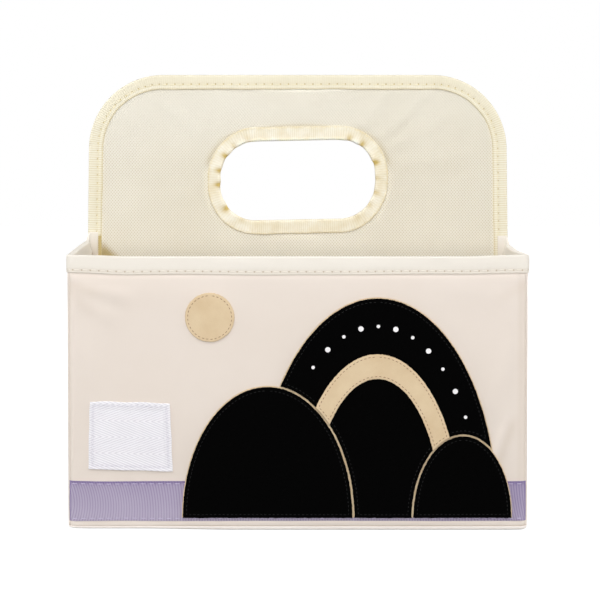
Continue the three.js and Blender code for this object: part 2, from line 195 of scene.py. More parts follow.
@dataclass(frozen=True)
class CaddySizes:
    """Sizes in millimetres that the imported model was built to."""

    base_width: float = 332.0
    rim_taper: float = 4.0
    waist_taper: float = 10.0
    depth: float = 184.0
    rim_height: float = 198.0
    handle_height: float = 329.0
    inside_corner_radius: float = 2.25
    canvas: float = 0.8
    wall_board: float = 1.8
    lining: float = 0.6
    ply_gap: float = 0.15
    seam_gap: float = 0.4
    rim_tape: float = 0.6
    rim_tape_height: float = 12.5
    turn_radius: float = 5.0
    turn_clearance: float = 0.2
    flange_width: float = 8.0
    floor: float = 1.2
    floor_lip: float = 3.1
    floor_seam_gap: float = 0.2
    divider_board: float = 2.4
    cover: float = 0.8
    handle_corner_radius: float = 57.0
    tape: float = 0.8
    tape_fold_room: float = 0.8
    edge_tape_width: float = 10.6
    divider_floor_gap: float = 0.3
    hole_width: float = 118.5
    hole_height: float = 60.0
    hole_corner_radius: float = 27.0
    grip_height: float = 49.5
    hole_tape_width: float = 10.4
    insert_cover: float = 0.8
    insert_corner_radius: float = 5.0
    ribbon: float = 0.5
    ribbon_width: float = 28.8
    ribbon_height: float = 7.3
    label_width: float = 58.8
    label_height: float = 49.0
    label: float = 0.7
    label_side_inset: float = 16.8
    label_ribbon_gap: float = 8.3
    felt_backing: float = 0.6
    hill_felt: float = 1.2
    top_felt: float = 1.0
    felt_seam: float = 1.5
    backing_margin: float = 0.7
    felt_ribbon_inset: float = 2.4
    felt_label_gap: float = 8.0
    felt_seam_inset: float = 6.0
    moon_radius: float = 17.5

    @property
    def front(self) -> float:
        """How far the front canvas is from the middle plane."""
        return self.depth / 2

    @property
    def wall(self) -> float:
        """All plies of a wall together."""
        return self.canvas + self.wall_board + self.lining + 2 * self.ply_gap

    @property
    def rim_reach(self) -> float:
        """How far the rim tape stands out from the wall."""
        return self.ply_gap + self.rim_tape

    @property
    def wall_corner_radius(self) -> float:
        """The bins' outside corner."""
        return self.wall + self.rim_reach + self.inside_corner_radius

    @property
    def wall_bottom(self) -> float:
        """Where the walls start above the floor's lip."""
        return self.floor_lip + self.floor_seam_gap

    @property
    def cover_face(self) -> float:
        """The divider cover's outer face, from the middle plane."""
        return self.divider_board / 2 + self.ply_gap + self.cover

    @property
    def tape_face(self) -> float:
        """The divider tapes' outer face, from the middle plane."""
        return self.cover_face + self.ply_gap + self.tape

    @property
    def divider_reach(self) -> float:
        """Where a bin's flange lies, from the middle plane."""
        return self.tape_face + self.turn_clearance

    @property
    def butt_reach(self) -> float:
        """Where linings and rim tapes stop, from the middle plane."""
        return self.divider_reach + self.turn_radius + self.seam_gap

    @property
    def hole_centre(self) -> float:
        """The hand hole's middle above the ground."""
        return self.handle_height - self.grip_height - self.hole_height / 2

    def half_width(self, reach: Array | float, z: Array | float) -> Array:
        """Half the outside width.

        Args:
            reach: Distance from the middle plane.
            z: Height above the ground.

        Returns:
            Half the width there.
        """
        outward = (reach - self.divider_reach) / (self.front - self.divider_reach)
        taper = self.waist_taper + (self.rim_taper - self.waist_taper) * outward
        return (self.base_width - taper * np.asarray(z) / self.rim_height) / 2


SIZES = CaddySizes()


# Shader groups, each built once and placed in every finish that shows the effect


class Wiring:
    """Short calls for placing and joining the nodes of one tree."""

    def __init__(self, tree: bpy.types.NodeTree) -> None:
        """Takes the tree that the nodes go into."""
        self.tree = tree

    def feed(self, socket: Socket, value: object) -> None:
        """Links the value to the socket where it is a socket itself, and sets it there otherwise."""
        if isinstance(value, Socket):
            self.tree.links.new(value, socket)
        else:
            socket.default_value = value

    def node(self, kind: str, inputs: dict | None = None, **settings: object) -> bpy.types.Node:
        """Places a node.

        Args:
            kind: Blender's name for the kind of node.
            inputs: Values or sockets by input name or number.
            **settings: The node's own properties.

        Returns:
            The node.
        """
        made = self.tree.nodes.new(kind)
        for key, value in settings.items():
            setattr(made, key, value)
        for key, value in (inputs or {}).items():
            self.feed(made.inputs[key], value)
        return made

    def math(self, operation: str, *values: object, clamp: bool = False) -> Socket:
        """Returns the output of a new maths node over these values."""
        made = self.tree.nodes.new("ShaderNodeMath")
        made.operation = operation
        made.use_clamp = clamp
        for slot, value in enumerate(values):
            self.feed(made.inputs[slot], value)
        return made.outputs[0]

    def sine_ridge(self, along: object, pitch: object) -> Socket:
        """Returns rounded ridges of 0 to 1, one to each pitch."""
        turn = self.math("MULTIPLY", self.math("DIVIDE", along, pitch), math.pi)
        return self.math("ABSOLUTE", self.math("SINE", turn))

    def mixed(self, share: object, first: object, second: object) -> Socket:
        """Returns the colour from first to second by share."""
        made = self.node("ShaderNodeMix", data_type="RGBA", blend_type="MIX")
        self.feed(made.inputs["Factor"], share)
        self.feed(made.inputs["A"], first)
        self.feed(made.inputs["B"], second)
        return made.outputs["Result"]


class EffectGroup:
    """One shader node group with named inputs and outputs."""

    NAME = ""
    INPUTS: dict[str, str] = {}
    OUTPUTS: dict[str, str] = {}

    @classmethod
    def tree(cls) -> bpy.types.NodeTree:
        """Returns the group's tree, which is built at the first call."""
        found = bpy.data.node_groups.get(cls.NAME)
        if found:
            return found
        made = bpy.data.node_groups.new(cls.NAME, "ShaderNodeTree")
        for direction, sockets in (("INPUT", cls.INPUTS), ("OUTPUT", cls.OUTPUTS)):
            for name, kind in sockets.items():
                made.interface.new_socket(name=name, in_out=direction, socket_type=kind)
        wiring = Wiring(made)
        entry = wiring.node("NodeGroupInput").outputs
        leave = wiring.node("NodeGroupOutput").inputs
        for name, socket in cls.wire(wiring, entry).items():
            made.links.new(socket, leave[name])
        return made

    @classmethod
    def wire(cls, wiring: Wiring, entry: bpy.types.NodeOutputs) -> dict[str, Socket]:
        """Returns the socket that feeds each output."""
        raise NotImplementedError

    @classmethod
    def place(cls, wiring: Wiring, **inputs: object) -> bpy.types.NodeOutputs:
        """Places the group in a material.

        Args:
            wiring: The material's tree.
            **inputs: Values or sockets by input name.

        Returns:
            The group's outputs.
        """
        made = wiring.node("ShaderNodeGroup", node_tree=cls.tree())
        for name, value in inputs.items():
            wiring.feed(made.inputs[name], value)
        return made.outputs


FLOAT, COLOUR, PLACE = "NodeSocketFloat", "NodeSocketColor", "NodeSocketVector"


class CrossedThreads(EffectGroup):
    """Threads that pass over and under each other."""

    NAME = "crossed_threads"
    INPUTS = {"Along": FLOAT, "Across": FLOAT, "Pitch": FLOAT}
    OUTPUTS = {"Height": FLOAT, "Gap": FLOAT}

    @classmethod
    def wire(cls, wiring: Wiring, entry: bpy.types.NodeOutputs) -> dict[str, Socket]:
        """Returns the socket that feeds each output."""
        turns = [wiring.math("MULTIPLY", wiring.math("DIVIDE", entry[name], entry["Pitch"]), math.pi)
                 for name in ("Along", "Across")]
        waves = [wiring.math("SINE", turn) for turn in turns]
        warp, weft = (wiring.math("ABSOLUTE", wave) for wave in waves)
        over = wiring.math("MULTIPLY_ADD", wiring.math("MULTIPLY", *waves), 0.9, 0.5, clamp=True)
        under = wiring.math("SUBTRACT", 1.0, over)
        warp_top = wiring.math("MULTIPLY", warp, wiring.math("MULTIPLY_ADD", over, 0.5, 0.5))
        weft_top = wiring.math("MULTIPLY", weft, wiring.math("MULTIPLY_ADD", under, 0.5, 0.5))
        hole = wiring.math("MULTIPLY", wiring.math("SUBTRACT", 1.0, warp), wiring.math("SUBTRACT", 1.0, weft))
        return {
            "Height": wiring.math("MAXIMUM", warp_top, weft_top),
            "Gap": wiring.math("MULTIPLY", hole, 1.6, clamp=True),
        }


class RaisedRibs(EffectGroup):
    """Ribs across a grosgrain tape, bound by finer threads."""

    NAME = "raised_ribs"
    INPUTS = {"Along": FLOAT, "Across": FLOAT, "Pitch": FLOAT}
    OUTPUTS = {"Height": FLOAT, "Gap": FLOAT}
    BINDING_PITCH = 0.28
    BINDING_HEIGHT = 0.18

    @classmethod
    def wire(cls, wiring: Wiring, entry: bpy.types.NodeOutputs) -> dict[str, Socket]:
        """Returns the socket that feeds each output."""
        rib = wiring.sine_ridge(entry["Along"], entry["Pitch"])
        pitch = wiring.math("MULTIPLY", entry["Pitch"], cls.BINDING_PITCH)
        thread = wiring.sine_ridge(entry["Across"], pitch)
        height = wiring.math("MULTIPLY_ADD", thread, cls.BINDING_HEIGHT, rib)
        dip = wiring.math("SUBTRACT", 1.0, rib)
        return {"Height": height, "Gap": wiring.math("MULTIPLY", dip, dip)}


class Herringbone(EffectGroup):
    """Slanting ridges that turn back at each band."""

    NAME = "herringbone"
    INPUTS = {"Along": FLOAT, "Across": FLOAT, "Pitch": FLOAT}
    OUTPUTS = {"Height": FLOAT, "Gap": FLOAT}
    BAND_PITCHES = 7.4
    SLANT = math.radians(69.0)

    @classmethod
    def wire(cls, wiring: Wiring, entry: bpy.types.NodeOutputs) -> dict[str, Socket]:
        """Returns the socket that feeds each output."""
        band = wiring.math("MULTIPLY", entry["Pitch"], cls.BAND_PITCHES)
        folded = wiring.math("PINGPONG", entry["Across"], band)
        slanted = wiring.math("MULTIPLY", entry["Along"], math.cos(cls.SLANT))
        reach = wiring.math("MULTIPLY_ADD", folded, math.sin(cls.SLANT), slanted)
        ridge = wiring.sine_ridge(reach, entry["Pitch"])
        dip = wiring.math("SUBTRACT", 1.0, ridge)
        return {"Height": ridge, "Gap": wiring.math("MULTIPLY", dip, dip)}


class MattedFibres(EffectGroup):
    """Short matted fibres of pressed felt, with lighter ones standing out here and there."""

    NAME = "matted_fibres"
    INPUTS = {"Position": PLACE, "Fibres per metre": FLOAT}
    OUTPUTS = {"Height": FLOAT, "Gap": FLOAT}

    @classmethod
    def wire(cls, wiring: Wiring, entry: bpy.types.NodeOutputs) -> dict[str, Socket]:
        """Returns the socket that feeds each output."""
        fine = wiring.node("ShaderNodeTexNoise", {
            "Vector": entry["Position"], "Scale": entry["Fibres per metre"], "Detail": 3.0,
            "Roughness": 0.65, "Distortion": 1.4,
        }).outputs["Fac"]
        tuft = wiring.node("ShaderNodeTexNoise", {
            "Vector": entry["Position"], "Scale": wiring.math("MULTIPLY", entry["Fibres per metre"], 0.3),
            "Detail": 2.0, "Roughness": 0.6, "Distortion": 0.8,
        }).outputs["Fac"]
        loose = wiring.math("MULTIPLY", wiring.math("SUBTRACT", fine, 0.56), 5.0, clamp=True)
        return {"Height": wiring.math("MULTIPLY_ADD", tuft, 0.7, fine), "Gap": loose}


class DyedToneWithPaintedShade(EffectGroup):
    """A colour that drifts towards a second one in clouds and gaps; its crease input draws it towards the
    second one as painted shade where positive, and makes it paler as painted light where negative.
    """

    NAME = "dyed_tone_with_painted_shade"
    INPUTS = {"Position": PLACE, "Colour": COLOUR, "Deep": COLOUR, "Clouds per metre": FLOAT,
              "Drift": FLOAT, "Gap": FLOAT, "Crease": FLOAT}
    OUTPUTS = {"Colour": COLOUR}

    @classmethod
    def wire(cls, wiring: Wiring, entry: bpy.types.NodeOutputs) -> dict[str, Socket]:
        """Returns the socket that feeds each output."""
        cloud = wiring.node("ShaderNodeTexNoise", {
            "Vector": entry["Position"], "Scale": entry["Clouds per metre"], "Detail": 3.0, "Roughness": 0.55,
        }).outputs["Fac"]
        spread = wiring.node("ShaderNodeMapRange", {
            "Value": cloud, "From Min": 0.32, "From Max": 0.68, "To Min": 0.0, "To Max": 1.0,
        }).outputs[0]
        drift = wiring.math("MULTIPLY", spread, entry["Drift"])
        # Painted shade: a positive crease mixes the colour towards the deep one.
        creased = wiring.math("MAXIMUM", entry["Crease"], 0.0)
        worn = wiring.math("ADD", wiring.math("ADD", drift, entry["Gap"]), creased, clamp=True)
        toned = wiring.mixed(worn, entry["Colour"], entry["Deep"])
        # Painted light: a negative crease makes the colour up to 1.4 times paler.
        brighter = wiring.math("MULTIPLY_ADD", wiring.math("MULTIPLY", entry["Crease"], -1.0, clamp=True),
                               0.4, 1.0)
        pale = wiring.node("ShaderNodeVectorMath", {0: toned, "Scale": brighter},
                           operation="SCALE").outputs["Vector"]
        kept = wiring.node("ShaderNodeVectorMath", {0: pale, 1: (0.98, 0.98, 0.98)}, operation="MINIMUM")
        return {"Colour": kept.outputs["Vector"]}


class NeedleHoles(EffectGroup):
    """Small holes at an even pitch, in a row beside the cloth's edges."""

    NAME = "needle_holes"
    INPUTS = {"Along": FLOAT, "Across": FLOAT, "Width": FLOAT, "Row": FLOAT, "Pitch": FLOAT, "Radius": FLOAT}
    OUTPUTS = {"Hole": FLOAT}
    REACH = 1.4
    STEEPNESS = 1.6

    @classmethod
    def wire(cls, wiring: Wiring, entry: bpy.types.NodeOutputs) -> dict[str, Socket]:
        """Returns the socket that feeds each output."""
        from_edge = wiring.math("MINIMUM", entry["Across"],
                                wiring.math("SUBTRACT", entry["Width"], entry["Across"]))
        beside = wiring.math("SUBTRACT", from_edge, entry["Row"])
        wrapped = wiring.math("PINGPONG", entry["Along"], wiring.math("MULTIPLY", entry["Pitch"], 0.5))
        away = wiring.math("SQRT", wiring.math("ADD", wiring.math("MULTIPLY", beside, beside),
                                               wiring.math("MULTIPLY", wrapped, wrapped)))
        share = wiring.math("SUBTRACT", cls.REACH, wiring.math("DIVIDE", away, entry["Radius"]))
        return {"Hole": wiring.math("MULTIPLY", share, cls.STEEPNESS, clamp=True)}


# Finishes


def linear(hex_colour: int) -> tuple[float, float, float, float]:
    """Returns a web colour as Blender's linear one, with full alpha."""
    parts = [((hex_colour >> shift) & 255) / 255 for shift in (16, 8, 0)]
    made = [x / 12.92 if x <= 0.04045 else ((x + 0.055) / 1.055) ** 2.4 for x in parts]
    return (*made, 1.0)


@dataclass(frozen=True)
class NeedleRow:
    """Where the needle went through a cloth: its row from the edge, the pitch, and the cloth's width."""

    row: float
    pitch: float
    width: float
    radius: float = 0.55


@dataclass(frozen=True)
class ClothFinish:
    """What a cloth is woven from and how it takes the light."""

    name: str
    colour: int
    deep: int
    weave: Weave
    pitch: float
    relief: float
    gap: float
    drift: float
    clouds: float
    roughness: float = 0.9
    sheen: float = 0.1
    specular: float = 0.2
    needle: NeedleRow | None = None
    flat_at: Span | None = None
    slot: str | None = None

    @cached_property
    def material(self) -> bpy.types.Material:
        """The finish as a Blender material."""
        made = bpy.data.materials.new(self.name)
        made.use_nodes = True
        made.diffuse_color = linear(self.colour)
        made.node_tree.nodes.clear()
        wiring = Wiring(made.node_tree)
        output = wiring.node("ShaderNodeOutputMaterial")
        shader = wiring.node("ShaderNodeBsdfPrincipled", {
            "Sheen Weight": self.sheen, "Sheen Roughness": SHEEN_ROUGHNESS,
            "Specular IOR Level": self.specular,
        })
        wiring.feed(output.inputs["Surface"], shader.outputs["BSDF"])
        position = wiring.node("ShaderNodeTexCoord").outputs["Object"]
        height, gap = self.threads(wiring, position)
        # The crease attribute: painted shade and painted light, fed to the tone group.
        crease = wiring.node("ShaderNodeAttribute", attribute_name=PAINTED_SHADE).outputs["Fac"]
        gap_share = wiring.math("MULTIPLY", gap, self.gap)
        # Needle holes are drawn towards the deep colour as painted shade, and sunk in the bump.
        if self.needle:
            hole = self.needle_holes(wiring)
            gap_share = wiring.math("MAXIMUM", gap_share, wiring.math("MULTIPLY", hole, HOLE_DARKNESS))
            height = wiring.math("SUBTRACT", height, hole)
        toned = DyedToneWithPaintedShade.place(wiring, **{
            "Position": position, "Colour": linear(self.colour), "Deep": linear(self.deep),
            "Clouds per metre": self.clouds, "Drift": self.drift, "Gap": gap_share, "Crease": crease,
        })
        wiring.feed(shader.inputs["Base Color"], toned["Colour"])
        dull = wiring.math("MULTIPLY_ADD", gap, GAP_DULLING, self.roughness, clamp=True)
        wiring.feed(shader.inputs["Roughness"], dull)
        bump = wiring.node("ShaderNodeBump",
                           {"Strength": 1.0, "Distance": self.relief * MM, "Height": height})
        wiring.feed(shader.inputs["Normal"], bump.outputs["Normal"])
        return made

    def cloth_place(self, wiring: Wiring) -> tuple[Socket, Socket]:
        """Returns the places along and across the cloth, in millimetres."""
        both = wiring.node("ShaderNodeUVMap", uv_map=CLOTH_UV).outputs["UV"]
        parts = wiring.node("ShaderNodeSeparateXYZ", {"Vector": both})
        return parts.outputs["X"], parts.outputs["Y"]

    def threads(self, wiring: Wiring, position: Socket) -> tuple[Socket, Socket]:
        """Places the weave.

        Args:
            wiring: The material's tree.
            position: Places in metres.

        Returns:
            The threads' height, and how deep in a gap between them a place lies.
        """
        if self.weave is Weave.FELTED:
            made = MattedFibres.place(wiring,
                                      **{"Position": position, "Fibres per metre": 1 / (self.pitch * MM)})
            return made["Height"], made["Gap"]
        along, across = self.cloth_place(wiring)
        if self.weave is Weave.BIAS:
            steep = wiring.math("MULTIPLY", across, BIAS_STRETCH)
            along, across = (
                wiring.math("MULTIPLY", wiring.math("ADD", along, steep), math.sqrt(0.5)),
                wiring.math("MULTIPLY", wiring.math("SUBTRACT", along, steep), math.sqrt(0.5)),
            )
        groups = {Weave.RIBBED: RaisedRibs, Weave.HERRINGBONE: Herringbone}
        made = groups.get(self.weave, CrossedThreads).place(wiring, Along=along, Across=across,
                                                            Pitch=self.pitch)
        if not self.flat_at:
            return made["Height"], made["Gap"]
        level = wiring.node("ShaderNodeSeparateXYZ", {"Vector": position}).outputs["Z"]
        open_share = wiring.node("ShaderNodeMapRange", {
            "Value": level, "From Min": self.flat_at[0] * MM, "From Max": self.flat_at[1] * MM,
            "To Min": 1.0, "To Max": FLAT_GAP_SHARE,
        }).outputs[0]
        return made["Height"], wiring.math("MULTIPLY", made["Gap"], open_share)

    def needle_holes(self, wiring: Wiring) -> Socket:
        """Returns how deep in a needle hole a place lies."""
        along, across = self.cloth_place(wiring)
        row = self.needle
        return NeedleHoles.place(wiring, Along=along, Across=across, Width=row.width, Row=row.row,
                                 Pitch=row.pitch, Radius=row.radius)["Hole"]

    def dress(self, piece: Piece) -> None:
        """Puts the finish on a piece."""
        piece.data.materials.clear()
        piece.data.materials.append(self.material)


@dataclass(frozen=True)
class BoardFinish:
    """Grey pressed board, seen only from inside its cover."""

    name: str = "pressed board"
    colour: int = 0xA8A196
    deep: int = 0x857D71

    @cached_property
    def material(self) -> bpy.types.Material:
        """The finish as a Blender material."""
        made = bpy.data.materials.new(self.name)
        made.use_nodes = True
        made.diffuse_color = linear(self.colour)
        made.node_tree.nodes.clear()
        wiring = Wiring(made.node_tree)
        output = wiring.node("ShaderNodeOutputMaterial")
        shader = wiring.node("ShaderNodeBsdfPrincipled", {"Specular IOR Level": 0.2})
        wiring.feed(output.inputs["Surface"], shader.outputs["BSDF"])
        position = wiring.node("ShaderNodeTexCoord").outputs["Object"]
        pulp = MattedFibres.place(wiring, **{"Position": position, "Fibres per metre": 900.0})
        toned = DyedToneWithPaintedShade.place(wiring, **{
            "Position": position, "Colour": linear(self.colour), "Deep": linear(self.deep),
            "Clouds per metre": 40.0, "Drift": 0.3, "Gap": wiring.math("MULTIPLY", pulp["Gap"], 0.4),
            "Crease": 0.0,
        })
        wiring.feed(shader.inputs["Base Color"], toned["Colour"])
        wiring.feed(shader.inputs["Roughness"], wiring.math("MULTIPLY_ADD", pulp["Gap"], 0.05, 0.9))
        bump = wiring.node("ShaderNodeBump", {"Strength": 0.6, "Distance": 0.0001, "Height": pulp["Height"]})
        wiring.feed(shader.inputs["Normal"], bump.outputs["Normal"])
        return made


SEAM_PITCH = 6.15
RIB_PITCH = 1.72
BIAS_STRETCH = 0.857
SHEEN_ROUGHNESS = 0.6
GAP_DULLING = 0.08
HOLE_DARKNESS = 0.75
FLAT_GAP_SHARE = 0.14
HEM_ROW = 1.9
EDGE_ROW = 3.7

CANVAS = ClothFinish("cream canvas", 0xEADFD5, 0xCDBCA8, Weave.PLAIN, 0.62, 0.05, 0.10, 0.10, 14.0,
                     slot="canvas")
# The walls' canvas painted paler for the tray, as painted light on it low down by the pale floor.
FLOOR_CANVAS_PAINTED_LIGHTER = ClothFinish("floor canvas painted lighter", 0xFFF9F2, 0xC9A999, Weave.PLAIN, 0.62, 0.05, 0.08, 0.06, 14.0,
                           slot="canvas")
LINING = ClothFinish("lining", 0xF1E5D2, 0xD0B990, Weave.PLAIN, 0.7, 0.04, 0.10, 0.12, 12.0, slot="lining")
RIM = ClothFinish("rim hem", 0xEFE9DF, 0xC8B8A2, Weave.PLAIN, 0.6, 0.04, 0.08, 0.06, 18.0, slot="rim_tape",
                  needle=NeedleRow(HEM_ROW, SEAM_PITCH, 29.4, 0.5))
OXFORD = ClothFinish("bias oxford", 0xEAE6DA, 0xB9A678, Weave.BIAS, 1.55, 0.12, 0.68, 0.12, 9.0,
                     flat_at=(262.0, 304.0), slot="woven_cover")
EDGE_TAPE = ClothFinish("grosgrain edge tape", 0xF1ECD9, 0xC9B57E, Weave.RIBBED, RIB_PITCH, 0.12, 0.60,
                        0.10, 25.0,
                        roughness=0.75, slot="yellow_tape", needle=NeedleRow(EDGE_ROW, SEAM_PITCH, 25.0, 0.5),
                        flat_at=(290.0, 318.0))
HOLE_TAPE = ClothFinish("gathered hole tape", 0xF5F0E0, 0xCDB368, Weave.RIBBED, 1.6, 0.10, 0.16, 0.32, 90.0,
                        roughness=0.7, slot="yellow_tape")
RIBBON = ClothFinish("lavender ribbon", 0xBCB2C7, 0x7F6E99, Weave.RIBBED, 1.95, 0.10, 0.6, 0.14, 22.0,
                     roughness=0.6, sheen=0.25, slot="lavender_ribbon")
LABEL = ClothFinish("white herringbone label", 0xF7F5F9, 0xBCB7C4, Weave.HERRINGBONE, 1.6, 0.12, 0.6,
                    0.06, 40.0,
                    slot="label_twill")
BLACK_FELT = ClothFinish("black felt", 0x030303, 0x121012, Weave.FELTED, 0.5, 0.25, 0.35, 0.0, 60.0,
                         roughness=1.0, sheen=0.01, specular=0.01, slot="black_felt")
TAN_FELT = ClothFinish("tan felt", 0xE3CDAA, 0xC9A77B, Weave.FELTED, 0.5, 0.2, 0.35, 0.3, 60.0,
                       roughness=1.0, sheen=0.15, specular=0.1, slot="tan_felt")


def thread(name: str, colour: int, deep: int, gap: float = 0.3, roughness: float = 0.6,
           specular: float = 0.2) -> ClothFinish:
    """Returns the finish of a sewing thread."""
    return ClothFinish(f"{name} thread", colour, deep, Weave.RIBBED, 0.35, 0.05, gap, 0.0, 60.0,
                       roughness=roughness, specular=specular)


CREAM_THREAD = thread("cream", 0xF2EBDF, 0xD5C7B2)
YELLOW_THREAD = thread("yellow", 0xF1E8C8, 0xD0BC84)
LAVENDER_THREAD = thread("lavender", 0xCCC2DA, 0x9A8AB6, gap=0.4, roughness=0.55)
WHITE_THREAD = thread("white", 0xF1F0F5, 0xCBC7D6)
BLACK_THREAD = thread("black", 0x060607, 0x131214, specular=0.1)
RUSSET_THREAD = thread("russet", 0x8A5A44, 0x5F3A2A)
PRINT_WHITE = ClothFinish("white print", 0xF2F0F1, 0xD8D6D9, Weave.FELTED, 0.5, 0.08, 0.25, 0.1, 60.0,
                          roughness=0.8)
PRESSED_BOARD = BoardFinish()


# Meshes


@dataclass
class Polygons:
    """Faces of one mesh, with the cloth places of their corners."""

    corners: list[Array] = field(default_factory=list)
    places: list[Array] = field(default_factory=list)

    def add(self, corners: Array, places: Array) -> None:
        """Adds faces of one kind: rows of point numbers, and for each corner its two places."""
        self.corners.append(np.asarray(corners, int))
        self.places.append(np.asarray(places, float))

    def turned(self) -> "Polygons":
        """Returns the same faces facing the other way."""
        return Polygons([c[:, ::-1] for c in self.corners], [p[:, ::-1] for p in self.places])

    def volume(self, points: Array) -> float:
        """Returns six times the volume inside, negative where the faces point in."""
        total = 0.0
        for corners in self.corners:
            for k in range(1, corners.shape[1] - 1):
                a, b, c = points[corners[:, 0]], points[corners[:, k]], points[corners[:, k + 1]]
                total += float(np.einsum("ij,ij->i", a, np.cross(b, c)).sum())
        return total


def cloth_object(name: str, points: Array, polygons: Polygons, crease: Array, sharp: float = 65.0) -> Piece:
    """Makes a closed cloth piece.

    Args:
        name: The piece's name.
        points: Its points in millimetres.
        polygons: Its faces.
        crease: Painted shade at each point, from 0 to 1, which draws its colour towards the deep colour;
            below 0, down to -1, painted light that makes it paler.
        sharp: Edges that bend more than this many degrees show as edges.

    Returns:
        The new object, in metres.
    """
    if polygons.volume(points) < 0:
        polygons = polygons.turned()
    mesh = bpy.data.meshes.new(name)
    faces = [face for corners in polygons.corners for face in corners.tolist()]
    mesh.from_pydata((points * MM).tolist(), [], faces)
    mesh.update(calc_edges=True)
    layer = mesh.uv_layers.new(name=CLOTH_UV)
    places = np.concatenate([p.reshape(-1, 2) for p in polygons.places])
    layer.uv.foreach_set("vector", places.astype(np.float32).ravel())
    values = mesh.attributes.new(PAINTED_SHADE, "FLOAT", "POINT")
    values.data.foreach_set("value", np.broadcast_to(crease, len(points)).astype(np.float32))
    mesh.polygons.foreach_set("use_smooth", np.ones(len(mesh.polygons), bool))
    mesh.set_sharp_from_angle(angle=math.radians(sharp))
    made = bpy.data.objects.new(name, mesh)
    bpy.context.scene.collection.objects.link(made)
    return made


@dataclass
class ClothShell:
    """Two faces of a cloth as grids of points, stations by rows, joined by rounded edges.

    A ring's stations close on themselves. A centred ring also has no hole: its first row is a small
    loop that is filled on both faces.
    """

    outer: Array
    inner: Array
    along: Array
    across: Array
    # Painted shade and painted light of the outer face, as in cloth_object.
    crease: Array | float = 0.0
    ring_length: float = 0.0
    centred: bool = False
    edge_bulge: float = 0.35
    places: Callable[[Array], Array] | None = None

    def build(self, name: str) -> Piece:
        """Returns the shell as an object of this name."""
        count, rows = self.outer.shape[:2]
        ring = self.ring_length > 0
        along = np.append(self.along, self.ring_length) if ring else self.along
        grids = [self.outer, self.rounded_edge(-1, -2), self.inner[:, ::-1]]
        levels = [self.across, self.across[-1:], self.across[::-1]]
        if not self.centred:
            grids.append(self.rounded_edge(0, 1))
            levels.append(self.across[:1])
        section = np.concatenate(grids, axis=1)
        level = np.concatenate(levels)
        size = section.shape[1]
        points = section.reshape(-1, 3)
        crease = np.zeros((count, size))
        crease[:, :rows] = self.crease
        faces = Polygons()
        stations = np.arange(count if ring else count - 1)
        spans = np.arange(size - 1 if self.centred else size)
        i, k = (grid.ravel() for grid in np.meshgrid(stations, spans, indexing="ij"))
        far, above = (i + 1) % count, (k + 1) % size
        corners = np.stack([i * size + k, far * size + k, far * size + above, i * size + above], axis=1)
        where = np.stack([
            np.stack([along[i], level[k]], 1), np.stack([along[i + 1], level[k]], 1),
            np.stack([along[i + 1], level[above]], 1), np.stack([along[i], level[above]], 1),
        ], axis=1)
        faces.add(corners, where)
        if not ring:
            self.close_ends(faces, count, rows, size, along, level)
        if self.centred:
            points, crease = self.fill_centre(faces, points, crease, count, size)
        if self.places:
            faces.places = [self.places(points[corners]) for corners in faces.corners]
        return cloth_object(name, points, faces, np.ravel(crease))

    def rounded_edge(self, last: int, before: int) -> Array:
        """Returns the row that rounds the edge beyond row last, whose neighbour is row before."""
        outer, inner = self.outer[:, last], self.inner[:, last]
        beyond = outer - self.outer[:, before]
        beyond = beyond / np.maximum(np.linalg.norm(beyond, axis=1, keepdims=True), 1e-9)
        thickness = np.linalg.norm(outer - inner, axis=1, keepdims=True)
        return ((outer + inner) / 2 + beyond * thickness * self.edge_bulge)[:, None]

    def close_ends(self, faces: Polygons, count: int, rows: int, size: int,
                   along: Array, level: Array) -> None:
        """Adds the faces across the thickness at the first and the last station."""
        k = np.arange(rows - 1)
        opposite = 2 * rows - k
        for station, turned in ((0, False), (count - 1, True)):
            base = station * size
            quads = base + np.stack([k, k + 1, opposite - 1, opposite], axis=1)
            tips = base + np.array([[rows - 1, rows, rows + 1], [0, 2 * rows, 2 * rows + 1]])
            for corners in (quads, tips):
                corners = corners[:, ::-1] if turned else corners
                where = np.stack([np.full(corners.shape, along[station]), level[corners - base]], axis=2)
                faces.add(corners, where)

    def fill_centre(self, faces: Polygons, points: Array, crease: Array,
                    count: int, size: int) -> tuple[Array, Array]:
        """Fills the first row's loop on both faces, and returns the points and creases with the new ones."""
        middles = np.stack([points.reshape(count, size, 3)[:, k].mean(axis=0) for k in (0, size - 1)])
        start = len(points)
        i = np.arange(count)
        for number, k in enumerate((0, size - 1)):
            around = [i * size + k, ((i + 1) % count) * size + k]
            fan = np.stack([*(around if k else around[::-1]), np.full(count, start + number)], axis=1)
            faces.add(fan, np.zeros((count, 3, 2)))
        return np.concatenate([points, middles]), np.append(np.ravel(crease), [0.0, 0.0])


def planar_places(corners: Array) -> Array:
    """Returns the cloth places of corners on an upright cloth: X and Z in millimetres."""
    return corners[..., [0, 2]]


def level_places(corners: Array) -> Array:
    """Returns the cloth places of corners on a level cloth: X and Y in millimetres."""
    return corners[..., [0, 1]]


